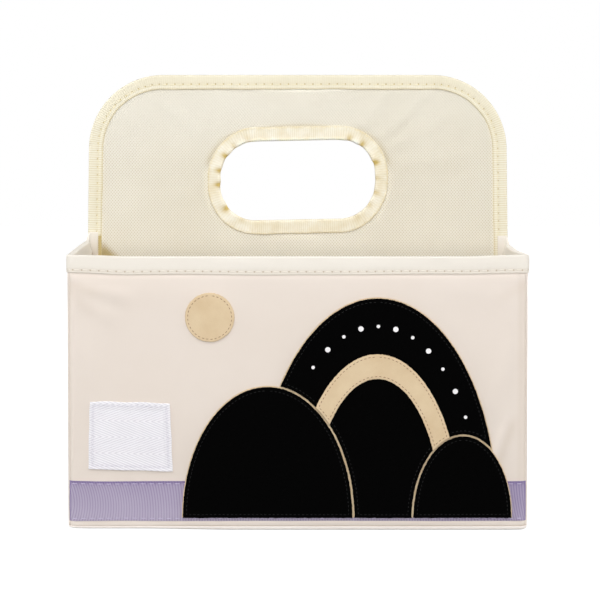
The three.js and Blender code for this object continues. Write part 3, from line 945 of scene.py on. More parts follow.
@dataclass(frozen=True)
class StitchRow:
    """A row of machine stitches whose threads dive into the cloth at both ends."""

    pitch: float = SEAM_PITCH
    length: float = 5.2
    radius: float = 0.24
    rise: float = 0.16
    sink: float = 0.3
    sides: int = 6
    steps: int = 5

    def build(self, name: str, rows: Sequence[tuple[Array, Array]]) -> Piece:
        """Sews along lines on the cloth.

        Args:
            name: The new piece's name.
            rows: For each line its points in millimetres and the cloth's outward normals there.

        Returns:
            The threads as one object.
        """
        points, faces, start = [], Polygons(), 0
        for line, normals in rows:
            for thread in self.threads(line, normals):
                points.append(thread)
                self.skin(faces, start)
                start += len(thread)
        merged = Polygons()
        for sides in (4, self.sides):
            chosen = [(c, p) for c, p in zip(faces.corners, faces.places, strict=True) if c.shape[1] == sides]
            merged.add(np.concatenate([c for c, _ in chosen]), np.concatenate([p for _, p in chosen]))
        return cloth_object(name, np.concatenate(points), merged, np.zeros(start), sharp=80.0)

    def threads(self, line: Array, normals: Array) -> list[Array]:
        """Returns each stitch's points, loop after loop, along a line with these normals."""
        reach = reach_along(line)
        count = int(reach[-1] // self.pitch)
        margin = (reach[-1] - count * self.pitch + self.pitch - self.length) / 2
        made = []
        for number in range(count):
            shares = np.linspace(0.0, 1.0, self.steps)
            places = margin + number * self.pitch + shares * self.length
            centre = np.stack([np.interp(places, reach, line[:, axis]) for axis in range(3)], axis=1)
            normal = np.stack([np.interp(places, reach, normals[:, axis]) for axis in range(3)], axis=1)
            normal /= np.linalg.norm(normal, axis=1, keepdims=True)
            bow = np.sin(math.pi * shares)[:, None]
            centre = centre + normal * (bow * (self.rise + self.sink) - self.sink)
            ahead = np.gradient(centre, axis=0)
            ahead /= np.linalg.norm(ahead, axis=1, keepdims=True)
            beside = np.cross(ahead, normal)
            beside /= np.linalg.norm(beside, axis=1, keepdims=True)
            upward = np.cross(beside, ahead)
            turns = np.linspace(0.0, math.tau, self.sides, endpoint=False)
            girth = self.radius * (0.6 + 0.4 * bow)[:, :, None]
            loop = (np.cos(turns)[None, :, None] * beside[:, None] + np.sin(turns)[None, :,
                                                                                   None] * upward[:, None])
            made.append((centre[:, None] + girth * loop).reshape(-1, 3))
        return made

    def skin(self, faces: Polygons, start: int) -> None:
        """Adds one stitch's faces, whose first point has number start."""
        i, k = (g.ravel() for g in np.meshgrid(np.arange(self.steps - 1), np.arange(self.sides),
                                               indexing="ij"))
        after = (k + 1) % self.sides
        corners = np.stack([i * self.sides + k, i * self.sides + after,
                            (i + 1) * self.sides + after, (i + 1) * self.sides + k], axis=1)
        places = np.stack([np.stack([i * 1.2, k * 0.25], 1)] * 4, axis=1).astype(float)
        faces.add(start + corners, places)
        first = np.arange(self.sides)[::-1]
        last = (self.steps - 1) * self.sides + np.arange(self.sides)
        faces.add(start + np.stack([first, last]), np.zeros((2, self.sides, 2)))


def seat(piece: Piece, finish: ClothFinish, nodes: Sequence[str] = (), body: str = CADDY_BODY) -> Piece:
    """Dresses a piece, lets it ride on its body and stand for its nodes, and reports it.

    Args:
        piece: The piece.
        finish: What it is made of.
        nodes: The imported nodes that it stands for.
        body: The body that it moves with.

    Returns:
        The same piece.
    """
    finish.dress(piece)
    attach(piece, body)
    if nodes:
        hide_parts(*nodes)
    LOG.info("%s: %d faces, %s, on %s", piece.name, len(piece.data.polygons), finish.name, body)
    return piece


# The bins


@dataclass(frozen=True)
class BinLine:
    """A bin's outside line: half the front wall, a corner, the side, and a bend onto the divider.

    A place on it is t: 0 to 1 along the front wall from its middle, to 2 round the corner, to 3 along
    the side, to 4 round the bend and to 5 along the divider. Negative t is the left half.
    """

    bin: Bin
    end_reach: float
    flanged: bool = False
    sizes: CaddySizes = SIZES

    def frame(self, t: Array, z: Array) -> tuple[Array, Array]:
        """Finds places on the line.

        Args:
            t: Places along it.
            z: Heights.

        Returns:
            The points on the outside face, and the unit normals into the bin, X and Y each.
        """
        size = self.sizes
        t, z = np.broadcast_arrays(np.asarray(t, float), np.asarray(z, float))
        hand, t = np.where(t < 0, -1.0, 1.0), np.abs(t)
        front_half = size.half_width(size.front, z)
        end_half = size.half_width(self.end_reach, z)
        back = size.front - self.end_reach
        length = np.hypot(end_half - front_half, back)
        dx, dy = (end_half - front_half) / length, back / length
        radius = size.wall_corner_radius
        turn = np.arccos(dx)
        trim = radius * np.tan(turn / 2)
        share = np.clip(t, 0, 1)
        front = ((front_half - trim) * share, np.full(t.shape, -size.front), np.zeros(t.shape),
                 np.ones(t.shape))
        angle = turn * np.clip(t - 1, 0, 1)
        nx, ny = -np.sin(angle), np.cos(angle)
        corner = (front_half - trim - radius * nx, -size.front + radius - radius * ny, nx, ny)
        bend = math.pi - turn
        end_trim = size.turn_radius * np.tan(bend / 2) if self.flanged else 0.0
        reach = trim + (length - end_trim - trim) * np.clip(t - 2, 0, 1)
        side = (front_half + dx * reach, -size.front + dy * reach, -dy, dx)
        angle = bend * np.clip(t - 3, 0, 1)
        nx, ny = -dy * np.cos(angle) - dx * np.sin(angle), -dy * np.sin(angle) + dx * np.cos(angle)
        last = length - end_trim
        centre_x = front_half + dx * last - dy * size.turn_radius
        centre_y = -size.front + dy * last + dx * size.turn_radius
        turned = (centre_x - size.turn_radius * nx, centre_y - size.turn_radius * ny, nx, ny)
        flange_start = end_half - end_trim
        flange_end = end_half - size.flange_width
        flange_x = flange_start + (flange_end - flange_start) * np.clip(t - 4, 0, 1)
        flange = (flange_x, np.full(t.shape, -self.end_reach), np.zeros(t.shape), -np.ones(t.shape))
        parts = [np.broadcast_arrays(*part) for part in (front, corner, side, turned, flange)]
        ranges = [t <= 1, t <= 2, t <= 3, t <= 4]
        x, y, nx, ny = (np.select(ranges, [part[k] for part in parts[:4]], parts[4][k]) for k in range(4))
        return (np.stack([hand * x, self.bin.value * y], axis=-1),
                np.stack([hand * nx, self.bin.value * ny], axis=-1))

    def place(self, t: Array, z: Array, depth: Array | float) -> Array:
        """Returns points at these places, heights and depths into the wall."""
        flat, normal = self.frame(t, z)
        flat = flat + normal * np.broadcast_to(depth, flat.shape[:-1])[..., None]
        return np.concatenate([flat, np.broadcast_to(z, flat.shape[:-1])[..., None]], axis=-1)

    def outward(self, t: Array, z: Array) -> Array:
        """Returns the unit normals out of the wall."""
        normal = self.frame(t, z)[1]
        return np.concatenate([-normal, np.zeros((*normal.shape[:-1], 1))], axis=-1)

    def reach(self, t: Array) -> Array:
        """Returns the places' distance from the middle plane."""
        return np.abs(self.frame(t, self.sizes.rim_height)[0][..., 1])

    def stations(self, first: float, last: float, step: float, both: bool = False) -> Array:
        """Spreads stations between two places, closer in the bends.

        Args:
            first: Where they start.
            last: Where they end.
            step: The usual distance between two.
            both: Also the same stations on the left half, as one row.

        Returns:
            The places.
        """
        cuts = sorted({first, last, *(k for k in range(1, 5) if first < k < last)})
        parts = []
        for low, high in pairwise(cuts):
            ends = self.place(np.array([low, high]), np.full(2, self.sizes.rim_height), 0.0)
            length = float(np.linalg.norm(ends[1] - ends[0]))
            least = 7 if int(low) in (1, 3) else 1
            count = max(int(math.ceil(length / step)), least)
            parts.append(np.linspace(low, high, count, endpoint=False))
        row = np.concatenate([*parts, [last]])
        return np.concatenate([-row[:0:-1], row]) if both else row

    def lengths(self, t: Array) -> Array:
        """Returns how far along the line the places are, 0 at the middle of a row of both halves."""
        points = self.place(t, np.full(t.shape, self.sizes.rim_height / 2), 0.0)
        reach = reach_along(points)
        return reach - (reach[-1] / 2 if t[0] < 0 else 0.0)


@dataclass(frozen=True)
class WallRelief:
    """How far the canvas of one wall stands off its board, shared by all that is sewn on it."""

    noise: SoftNoise
    swell: float
    creases: tuple[Crease, ...] = ()
    half_length: float = 150.0
    side_fade: float = 14.0
    sizes: CaddySizes = SIZES

    def at(self, along: Array, z: Array) -> Array:
        """Returns the lift at places along the wall and heights."""
        along, z = np.broadcast_arrays(np.asarray(along, float), np.asarray(z, float))
        lift = self.swell * 0.5 * (1.0 + np.clip(self.noise.at(along, z), -1.0, 1.0))
        for crease in self.creases:
            lift = lift + crease.at(along, z)
        hem = self.sizes.rim_height - self.sizes.rim_tape_height
        upright = smooth_step(self.sizes.wall_bottom, self.sizes.wall_bottom + 5.0, z)
        upright = upright * smooth_step(hem + 1.0, hem - 14.0, z)
        sideways = smooth_step(self.half_length + self.side_fade, self.half_length, np.abs(along))
        return np.maximum(lift, 0.0) * upright * sideways


FRONT_RELIEF = WallRelief(
    SoftNoise(95.0, 11), 0.55,
    (
        Crease((147.0, 78.0), (136.0, 46.0), 3.0, 1.0),
        Crease((151.0, 150.0), (147.0, 100.0), 5.0, 0.5),
        Crease((120.0, 176.0), (150.0, 166.0), 6.0, 0.5),
        Crease((-152.0, 176.0), (-128.0, 170.0), 4.0, 1.0),
        Crease((-152.0, 165.0), (-138.0, 157.0), 4.0, 0.8),
        Crease((-147.0, 140.0), (-150.0, 96.0), 5.0, 0.8),
        Crease((-148.0, 60.0), (-140.0, 20.0), 7.0, 0.5),
        Crease((153.0, 128.0), (139.0, 96.0), 5.0, 0.9),
        Crease((-90.0, 168.0), (-60.0, 160.0), 9.0, 0.35),
    ),
)
REAR_RELIEF = WallRelief(
    SoftNoise(85.0, 23), 0.7,
    (Crease((-140.0, 70.0), (-120.0, 30.0), 6.0, 0.7), Crease((20.0, 160.0), (60.0, 120.0), 9.0, 0.4)),
)
SIDE_FADE = 12.0


@dataclass(frozen=True)
class Climb:
    """How far one side's rim rises towards the divider, and over how long a run."""

    rise: float
    run: float
    bow: float

    def at(self, away: Array) -> Array:
        """Returns the rise this far from the divider."""
        return self.rise * np.clip(1.0 - (np.asarray(away, float) / self.run) ** self.bow, 0.0, 1.0)


@dataclass(frozen=True)
class RimShape:
    """How high a bin's rim stands: it sags in front, climbs along the sides and steps up at the divider."""

    sag: float = 1.0
    corner_run: float = 42.0
    step: float = 6.2
    step_run: Span = (5.4, 0.8)
    left: Climb = Climb(5.2, 80.0, 1.4)
    right: Climb = Climb(2.2, 38.0, 1.2)
    sizes: CaddySizes = SIZES

    def at(self, t: Array, reach: Array) -> Array:
        """Returns the rim's height at places of a bin's line and their distances from the middle plane."""
        from_corner = np.maximum(1.0 - np.abs(t), 0.0) * self.sizes.base_width / 2
        sag = self.sag * smooth_step(0.0, self.corner_run, from_corner)
        away = np.maximum(reach - self.sizes.divider_reach, 0.0)
        climb = np.where(t < 0, self.left.at(away), self.right.at(away))
        return self.sizes.rim_height - sag + climb + self.step * smooth_step(*self.step_run, away)


@dataclass
class BinWalls:
    """One bin: its wall and side panels, their linings, and the hem folded over the rim."""

    bin: Bin
    relief: WallRelief
    sizes: CaddySizes = SIZES
    rim: RimShape = RimShape()
    panel_step: float = 2.6
    row_step: float = 2.6
    hem_step: float = 1.4
    seam_roll: float = 0.25
    foot_roll: float = 0.15
    dip_depth: float = 0.22
    dip_width: float = 0.8

    @property
    def name(self) -> str:
        """The bin's word in the nodes' names."""
        return self.bin.name.lower()

    @property
    def seam_share(self) -> float:
        """Half the gap of a corner seam, as a share of the corner."""
        return self.sizes.seam_gap / (math.pi * self.sizes.wall_corner_radius)

    def rim_top(self, line: BinLine, t: Array) -> Array:
        """Returns how high the walls' cloth ends at these places."""
        return self.rim.at(t, line.reach(t))

    def panel(self, name: str, line: BinLine, t: Array, depths: Span,
              lift: Callable[[Array, Array], Array], seams: tuple[bool, bool],
              closes: bool = False) -> ClothShell:
        """Lays one ply of cloth along the bin's line.

        Args:
            name: Not used.
            line: The bin's line.
            t: Its stations.
            depths: The ply's outer and inner depth.
            lift: How far the cloth stands out at places along it and heights.
            seams: Whether the first and the last station are seams that roll inwards.
            closes: Whether the ply closes up on the canvas above the end of the board.

        Returns:
            The shell.
        """
        size = self.sizes
        along = line.lengths(t)
        top = self.rim_top(line, t)
        height = float(size.rim_height - size.wall_bottom)
        shares = edge_spaced(height, self.row_step, 0.5)
        z = size.wall_bottom + shares[None, :] * (top[:, None] - size.wall_bottom)
        lifted = lift(along[:, None], z)
        rolled = self.foot_roll * bell(z - size.wall_bottom, 0.9)
        # Painted shade in the seam gap at the walls' foot.
        crease = self.foot_shade(along)[:, None] * bell(z - size.wall_bottom, 0.3)
        # Painted light in a band just below the hem, against the hem's shadow.
        crease = crease - 0.35 * bell(z - size.rim_height + size.rim_tape_height + 1.2, 1.6)
        # Painted light on the strip between the foot seam and the ribbon.
        crease = crease - 0.6 * smooth_step(size.wall_bottom + 0.3, size.wall_bottom + 0.8, z) * (
            smooth_step(size.wall_bottom + 4.5, size.wall_bottom + 3.0, z))
        for seam, place in zip(seams, (along[0], along[-1]), strict=True):
            if seam:
                beside = bell(along[:, None] - place, 0.9)
                rolled = rolled + self.seam_roll * beside
                # Painted shade along the rolled corner seam.
                crease = crease + 0.1 * beside
        if closes:
            lifted = lifted + self.pinch(line, t[:, None], z)[0] * (size.wall_board + size.ply_gap)
        outer = line.place(t[:, None], z, depths[0] - lifted + rolled)
        inner = line.place(t[:, None], z, depths[1] - lifted)
        return ClothShell(outer, inner, along, size.wall_bottom + shares * height, crease)

    def foot_shade(self, along: Array) -> Array:
        """Returns how much painted shade lies in the seam gap at the walls' foot, least at the left end of
        the front.
        """
        return 0.3 + 0.5 * smooth_step(-115.0, -85.0, along)

    def build(self) -> None:
        """Makes and seats all of the bin's cloth."""
        size, name = self.sizes, self.name
        plain = BinLine(self.bin, size.butt_reach)
        flanged = BinLine(self.bin, size.divider_reach, flanged=True)
        front_seam, side_seam = 1.5 - self.seam_share, 1.5 + self.seam_share
        lining_depths = (size.wall - size.lining, size.wall)
        wall_t = plain.stations(0.0, front_seam, self.panel_step, both=True)
        wall = self.panel(f"{name}_wall", plain, wall_t, (0.0, size.canvas), self.relief.at, (True, True))
        if self.bin is Bin.FRONT:
            wall.crease = wall.crease + self.front_shade(wall.along[:, None], wall.outer[..., 2])
        canvas = seat(wall.build(f"{name}_wall_canvas_cloth"), CANVAS, [f"{name}_wall_canvas"])
        inside = SoftNoise(70.0, 31 if self.bin is Bin.FRONT else 37)
        lining = self.panel(f"{name}_lining", plain, wall_t, lining_depths, self.lining_lift(inside),
                            (False, False))
        sheet = seat(lining.build(f"{name}_wall_lining_cloth"), LINING, [f"{name}_wall_lining"])
        for hand in Hand:
            self.build_side(hand, plain, flanged, side_seam, lining_depths)
        self.build_hem(flanged)

    @staticmethod
    def front_shade(along: Array, z: Array) -> Array:
        """Returns painted shade on the front canvas where it turns into its right corner and in folds near
        its corners, less a painted highlight beside the lower right fold.
        """
        fold = Crease((152.0, 74.0), (140.0, 40.0), 2.6, 0.26).at(along, z)
        glint = Crease((145.0, 72.0), (133.0, 40.0), 2.6, 0.16).at(along, z)
        left_top = Crease((-161.0, 178.0), (-148.0, 173.0), 2.6, 0.16).at(along, z)
        left_low = Crease((-159.0, 170.0), (-150.0, 161.0), 2.8, 0.10).at(along, z)
        right_top = Crease((150.0, 171.0), (160.0, 176.0), 3.0, 0.12).at(along, z)
        return 0.16 * smooth_step(155.5, 158.5, along) + fold - glint + left_top + left_low + right_top

    def lining_lift(self, noise: SoftNoise) -> Callable[[Array, Array], Array]:
        """Returns how far the lining bellies into the bin, as a negative lift."""
        size = self.sizes
        hem = size.rim_height - size.rim_tape_height

        def lift(along: Array, z: Array) -> Array:
            """Returns the lift at places along the lining and heights."""
            reach = np.abs(along)
            middle = smooth_step(0.0, SIDE_FADE, reach.max() - reach)
            upright = smooth_step(10.0, 22.0, z) * smooth_step(hem, hem - 14.0, z)
            return -0.5 * (1.0 + np.clip(noise.at(along, z), -1.0, 1.0)) * 0.4 * middle * upright

        return lift

    def build_side(self, hand: Hand, plain: BinLine, flanged: BinLine, side_seam: float,
                   lining_depths: Span) -> None:
        """Makes and seats one side panel and its lining.

        Args:
            hand: Which side.
            plain: The line that the lining follows.
            flanged: The line that the canvas follows, onto the divider.
            side_seam: Where both start.
            lining_depths: The lining's outer and inner depth.
        """
        size = self.sizes
        name = f"{self.name}_{hand.name.lower()}_gusset"
        noise = SoftNoise(60.0, 41 + 2 * hand.value + self.bin.value)
        hem = size.rim_height - size.rim_tape_height

        def lift(along: Array, z: Array) -> Array:
            """Returns the side canvas's lift, none at its seam, its bend and under the hem."""
            panel = smooth_step(4.0, 14.0, along) * smooth_step(78.0, 66.0, along)
            upright = smooth_step(5.0, 12.0, z) * smooth_step(hem, hem - 14.0, z)
            fold = Crease((40.0, 16.0), (40.0, 150.0), 5.0, 0.35).at(along, z)
            return (0.25 * (1.0 + np.clip(noise.at(along, z), -1.0, 1.0)) + fold) * panel * upright

        t = hand.value * flanged.stations(side_seam, 5.0, self.panel_step)
        canvas = self.panel(name, flanged, t, (0.0, size.canvas), lift, (True, False))
        piece = seat(canvas.build(f"{name}_canvas_cloth"), CANVAS, [f"{name}_canvas"])
        inner = SoftNoise(50.0, 53 + 2 * hand.value + self.bin.value)
        t = hand.value * plain.stations(side_seam, 3.0, self.panel_step)

        def belly(along: Array, z: Array) -> Array:
            """Returns the side lining's lift, none near its ends."""
            panel = smooth_step(4.0, 16.0, along) * smooth_step(76.0, 64.0, along)
            upright = smooth_step(10.0, 22.0, z) * smooth_step(hem, hem - 14.0, z)
            return -0.2 * (1.0 + np.clip(inner.at(along, z), -1.0, 1.0)) * panel * upright

        lining = self.panel(name, plain, t, lining_depths, belly, (False, False), closes=True)
        piece = seat(lining.build(f"{name}_lining_cloth"), LINING, [f"{name}_lining"])

    def pinch(self, line: BinLine, t: Array, z: Array) -> tuple[Array, Array]:
        """Finds where the rim's cloths close up towards the divider, past the end of the board.

        Args:
            line: The bin's line.
            t: Stations, as a column.
            z: Heights at the stations.

        Returns:
            How far the cloths above the board have closed up, and how far the hem has closed on the canvas.
        """
        size = self.sizes
        past = self.past_board(line, t)
        upper = smooth_step(-9.0, -0.5, past) * smooth_step(size.rim_height - 1.7, size.rim_height + 1.2, z)
        return upper, smooth_step(0.3, 3.0, past) * np.ones_like(z)

    def past_board(self, line: BinLine, t: Array) -> Array:
        """Returns how far along the line the stations are past the end of the board."""
        size = self.sizes
        row = line.stations(0.0, 5.0 if line.flanged else 3.0, 1.0)
        along = line.lengths(row)
        butt = float(np.interp(-size.butt_reach, -line.reach(row), along))
        return np.interp(np.abs(t), row, along) - butt

    def build_hem(self, line: BinLine) -> None:
        """Makes and seats the tape folded over the rim and on round the bends, and its stitches."""
        size = self.sizes
        strip = FoldedStrip(-size.ply_gap, size.wall + size.ply_gap, size.rim_tape_height, size.rim_tape)
        t = line.stations(0.0, 5.0, self.hem_step, both=True)
        along = line.lengths(t)
        top = self.rim_top(line, t) + size.rim_reach
        outer_path, inner_path = strip.faces(2.0)
        across = strip.across(outer_path)
        seed = 61 if self.bin is Bin.FRONT else 67
        slack, waves = SoftNoise(38.0, seed), SoftNoise(55.0, seed + 1)
        near, far = -size.rim_reach, size.wall + size.rim_reach
        closed = size.canvas + size.ply_gap + size.rim_tape
        past = self.past_board(line, t)[:, None]
        ending = smooth_step(-3.0, 3.5, past)

        def face(path: Array, inset: float, dips: float) -> Array:
            """Returns one face of the hem, this far inside its outer face and with this share of the dips."""
            down = path[None, :, 0]
            share = ((path[:, 1] - near - inset) / (far - near - 2 * inset))[None, :]
            outside = share < 0.5
            kept = 1.0 - 0.95 * ending
            lowered = np.where(outside, inset + (down - inset) * kept, down * (1.0 + 0.5 * ending))
            droop = 0.45 * waves.at(along[:, None]) * (lowered / size.rim_tape_height) ** 2
            droop = droop * (1.0 - 0.8 * ending)
            z = top[:, None] - lowered - droop
            upper, after = self.pinch(line, t[:, None], z)
            inner_face = far - upper * (far - closed - size.lining - size.ply_gap)
            inner_face = inner_face + after * (closed - inner_face)
            outer_face = near * (1.0 - ending)
            depth = outer_face + inset + (inner_face - outer_face - 2 * inset) * share
            leg = smooth_step(1.5, 4.0, down)
            puff = 0.22 * (1.0 + slack.at(along[:, None])) * leg * smooth_step(11.0, 7.5, down)
            flare = 0.16 * (1.0 + waves.at(along[:, None], 40.0)) * smooth_step(10.8, 12.5, down)
            flush = 1.0 - 0.9 * bell(t + 1.5, 0.9)[:, None]
            row = bell(down - (size.rim_tape_height - HEM_ROW), self.dip_width)
            beat = 0.65 + 0.35 * np.cos(math.tau * along[:, None] / SEAM_PITCH)
            out = (puff + flare) * flush * np.where(outside, 1.0 - ending, 1.0 - 0.6 * after)
            out = out - dips * self.dip_depth * row * beat
            return line.place(t[:, None], z, depth + np.where(outside, -1.0, 1.0) * np.maximum(out, -0.3))

        outer, inner = face(outer_path, 0.0, 1.0), face(inner_path, size.rim_tape, 0.0)
        down = outer_path[None, :, 0]
        # Painted shade in the stitched dip and along the hem's lower edge.
        crease = 0.3 * bell(down - (size.rim_tape_height - HEM_ROW), 0.5) * np.ones((len(t), 1))
        crease = crease + 0.35 * bell(down - size.rim_tape_height, 0.3)
        inner_leg = outer_path[None, :, 1] > (near + far) / 2
        deep_in = smooth_step(-30.0, 4.0, past) * smooth_step(1.0, 12.0, down)
        # Painted shade on the inner leg past the bend onto the divider, heavier on the left, and painted
        # light on it before the bend.
        turned = smooth_step(-1.0, 4.0, past) * np.where(t < 0, 0.42, 0.05)[:, None]
        shade = turned - 0.45 * smooth_step(2.0, -2.0, past)
        crease = crease * (1.0 - deep_in) + shade * inner_leg * deep_in
        shell = ClothShell(outer, inner, along, across, crease)
        piece = seat(shell.build(f"{self.name}_rim_hem"), RIM, [f"{self.name}_rim_tape"])
        row = size.rim_tape_height - HEM_ROW
        before = ending[:, 0] < 0.02
        outside = outer[before, self.nearest_row(outer_path, row, False)]
        inside = outer[before, self.nearest_row(outer_path, row, True)]
        normals = line.outward(t[before], size.rim_height)
        lines = [(outside, normals), (inside, -normals)]
        stitches = seat(StitchRow().build(f"{self.name}_rim_stitches", lines), CREAM_THREAD)
        f"{self.name}_wall_canvas_cloth"

    @staticmethod
    def nearest_row(path: Array, down: float, far: bool) -> int:
        """Returns the number of the path's point nearest this far down, on its far or near leg."""
        half = len(path) // 2
        legs = range(half, len(path)) if far else range(half)
        return min(legs, key=lambda k: abs(path[k, 0] - down))


@dataclass(frozen=True)
class FoldedStrip:
    """A strip folded over an edge from near to far: how far down, and at what depth, its faces run."""

    near: float
    far: float
    width: float
    thickness: float
    radius_share: float = 2.0
    turn_steps: int = 5

    def faces(self, step: float) -> tuple[Array, Array]:
        """Follows both faces round the fold.

        Args:
            step: The distance between points on the legs.

        Returns:
            The outer and the inner face's path, rows of distance down and depth.
        """
        radius = self.thickness * self.radius_share
        down = self.width - (self.width - radius) * edge_spaced(self.width - radius, step, 0.35)
        turns = np.linspace(0.0, math.pi / 2, self.turn_steps + 1)[1:]
        paths = []
        for inset in (0.0, self.thickness):
            low, high = self.near - self.thickness + inset, self.far + self.thickness - inset
            bend = radius - inset
            leg = np.stack([down, np.full(down.shape, low)], axis=1)
            first = np.stack([radius - bend * np.sin(turns), low + bend - bend * np.cos(turns)], axis=1)
            flat = np.array([[inset, (low + high) / 2]])
            second = np.stack([first[::-1, 0], (low + high) - first[::-1, 1]], axis=1)
            back = np.stack([down[::-1], np.full(down.shape, high)], axis=1)
            paths.append(np.concatenate([leg, first, flat, second, back]))
        return paths[0], paths[1]

    @staticmethod
    def across(path: Array) -> Array:
        """Returns how far each point of a path is from its start."""
        return reach_along(path)


# Rounded outlines


@dataclass(frozen=True)
class Outline:
    """A closed or open line in a plane: points, unit normals and lengths, evenly spaced."""

    points: Array
    normals: Array
    reach: Array

    @staticmethod
    def filleted(corners: Sequence[Span], radii: Sequence[float], step: float) -> "Outline":
        """Rounds a path's corners, which all turn left.

        Args:
            corners: The path's points.
            radii: The radius of each inner corner.
            step: The distance between points.

        Returns:
            The line, its normals pointing left.
        """
        nodes = np.array(corners, float)
        runs = np.diff(nodes, axis=0)
        lengths = np.linalg.norm(runs, axis=1)
        runs = runs / lengths[:, None]
        dots = np.clip(np.einsum("ij,ij->i", runs[:-1], runs[1:]), -1.0, 1.0)
        turns = np.arccos(dots)
        trims = [0.0, *(radius * math.tan(turn / 2) for radius, turn in zip(radii, turns, strict=True)), 0.0]
        points, normals = [], []
        for k, run in enumerate(runs):
            left = np.array([-run[1], run[0]])
            start = nodes[k] + run * trims[k]
            length = lengths[k] - trims[k] - trims[k + 1]
            count = max(int(round(length / step)), 1)
            for share in np.linspace(0.0, 1.0, count, endpoint=False):
                points.append(start + run * length * share)
                normals.append(left)
            end = start + run * length
            if k == len(radii):
                points.append(end)
                normals.append(left)
                break
            centre = end + left * radii[k]
            count = max(int(round(radii[k] * turns[k] / step)), 4)
            for angle in np.linspace(0.0, turns[k], count, endpoint=False):
                cos, sin = math.cos(angle), math.sin(angle)
                normal = np.array([left[0] * cos - left[1] * sin, left[0] * sin + left[1] * cos])
                points.append(centre - normal * radii[k])
                normals.append(normal)
        return Outline.of(np.array(points), np.array(normals))

    @staticmethod
    def of(points: Array, normals: Array) -> "Outline":
        """Returns the line through these points."""
        reach = reach_along(points)
        return Outline(points, normals, reach)

    @staticmethod
    def rounded(width: float, height: float, radius: float, step: float,
                centre: Span = (0.0, 0.0)) -> "Outline":
        """Goes round a rounded rectangle.

        Args:
            width: Its first side.
            height: Its second side.
            radius: Its corners' radius.
            step: The distance between points.
            centre: Its middle.

        Returns:
            The closed line without its first point repeated, its normals pointing out.
        """
        w, h = width / 2, height / 2
        corners = [(w, 0.0), (w, h), (-w, h), (-w, -h), (w, -h), (w, 0.0)]
        line = Outline.filleted(corners, [radius] * 4, step)
        return Outline.of(line.points[:-1] + np.array(centre), -line.normals[:-1])

    @property
    def around(self) -> float:
        """The whole way round a closed line."""
        return float(self.reach[-1] + np.linalg.norm(self.points[0] - self.points[-1]))

    def moved(self, distance: float) -> Array:
        """Returns the points moved along their normals."""
        return self.points + self.normals * distance


# Floor and loose boards


@dataclass
class FloorTray:
    """The shallow canvas tray under the bins, with a rounded foot and a lip up to the seam."""

    sizes: CaddySizes = SIZES
    step: float = 2.4
    edge_radius: float = 1.9
    foot_lift: float = 1.1
    sag_noise: SoftNoise = SoftNoise(45.0, 71)

    def build(self) -> None:
        """Makes and seats the tray."""
        size = self.sizes
        outline = Outline.rounded(size.base_width, size.depth, size.wall_corner_radius, self.step)
        radius, lip, thick = self.edge_radius, size.floor_lip, size.floor
        turns = np.linspace(0.0, math.pi / 2, 7)
        shares = [0.03, 0.2, 0.4, 0.6, 0.8, 0.92]
        outer_rows = [(share, radius, 0.0) for share in shares]
        outer_rows += [(1.0, radius - radius * math.sin(a), radius - radius * math.cos(a)) for a in turns]
        outer_rows += [(1.0, 0.0, lip - 0.35), (1.0, 0.12, lip)]
        bend = radius - thick
        inner_rows = [(share, radius, thick) for share in shares]
        inner_rows += [(1.0, radius - bend * math.sin(a), radius - bend * math.cos(a)) for a in turns]
        inner_rows += [(1.0, thick, lip - 0.35), (1.0, thick, lip)]
        outer = self.rings(outline, outer_rows, 0.25)
        inner = self.rings(outline, inner_rows, 0.25)
        middle = (outer[:, 1:] - outer[:, :-1]).mean(axis=0)
        across = np.concatenate([[0.0], np.cumsum(np.linalg.norm(middle, axis=1))])
        crease = np.zeros(outer.shape[:2])
        # Painted shade on the lip's top, in the seam under the walls.
        crease[:, -3:] = [0.0, 0.1, 0.3]
        shell = ClothShell(outer, inner, outline.reach, across, crease, ring_length=outline.around,
                           centred=True,
                           places=level_places)
        piece = seat(shell.build("floor_canvas_cloth"), FLOOR_CANVAS_PAINTED_LIGHTER, ["floor_canvas"])

    def rings(self, outline: Outline, rows: Sequence[tuple[float, float, float]], wave: float) -> Array:
        """Returns loops of points, for rows of share of the way out, inset and height."""
        loops = []
        half = self.sizes.base_width / 2
        beside = smooth_step(half - 16.0, half - 5.0, np.abs(outline.points[:, 0]))
        wider = 1.0 + np.where(outline.points[:, 0] < 0, 1.3, 0.3) * beside
        for share, inset, z in rows:
            flat = (outline.points - outline.normals * (inset * wider)[:, None]
                    if share == 1.0 else outline.moved(-inset) * share)
            lift = np.minimum(wave * self.sag_noise.at(outline.reach) * smooth_step(1.0, 4.0, z), 0.0)
            near = smooth_step(-40.0, -120.0, outline.points[:, 0])
            near = near * smooth_step(0.0, -80.0, outline.points[:, 1])
            lift = lift + self.foot_lift * near * share * (1.0 - z / self.sizes.floor_lip)
            loops.append(np.column_stack([flat, z + lift]))
        return np.stack(loops, axis=1)


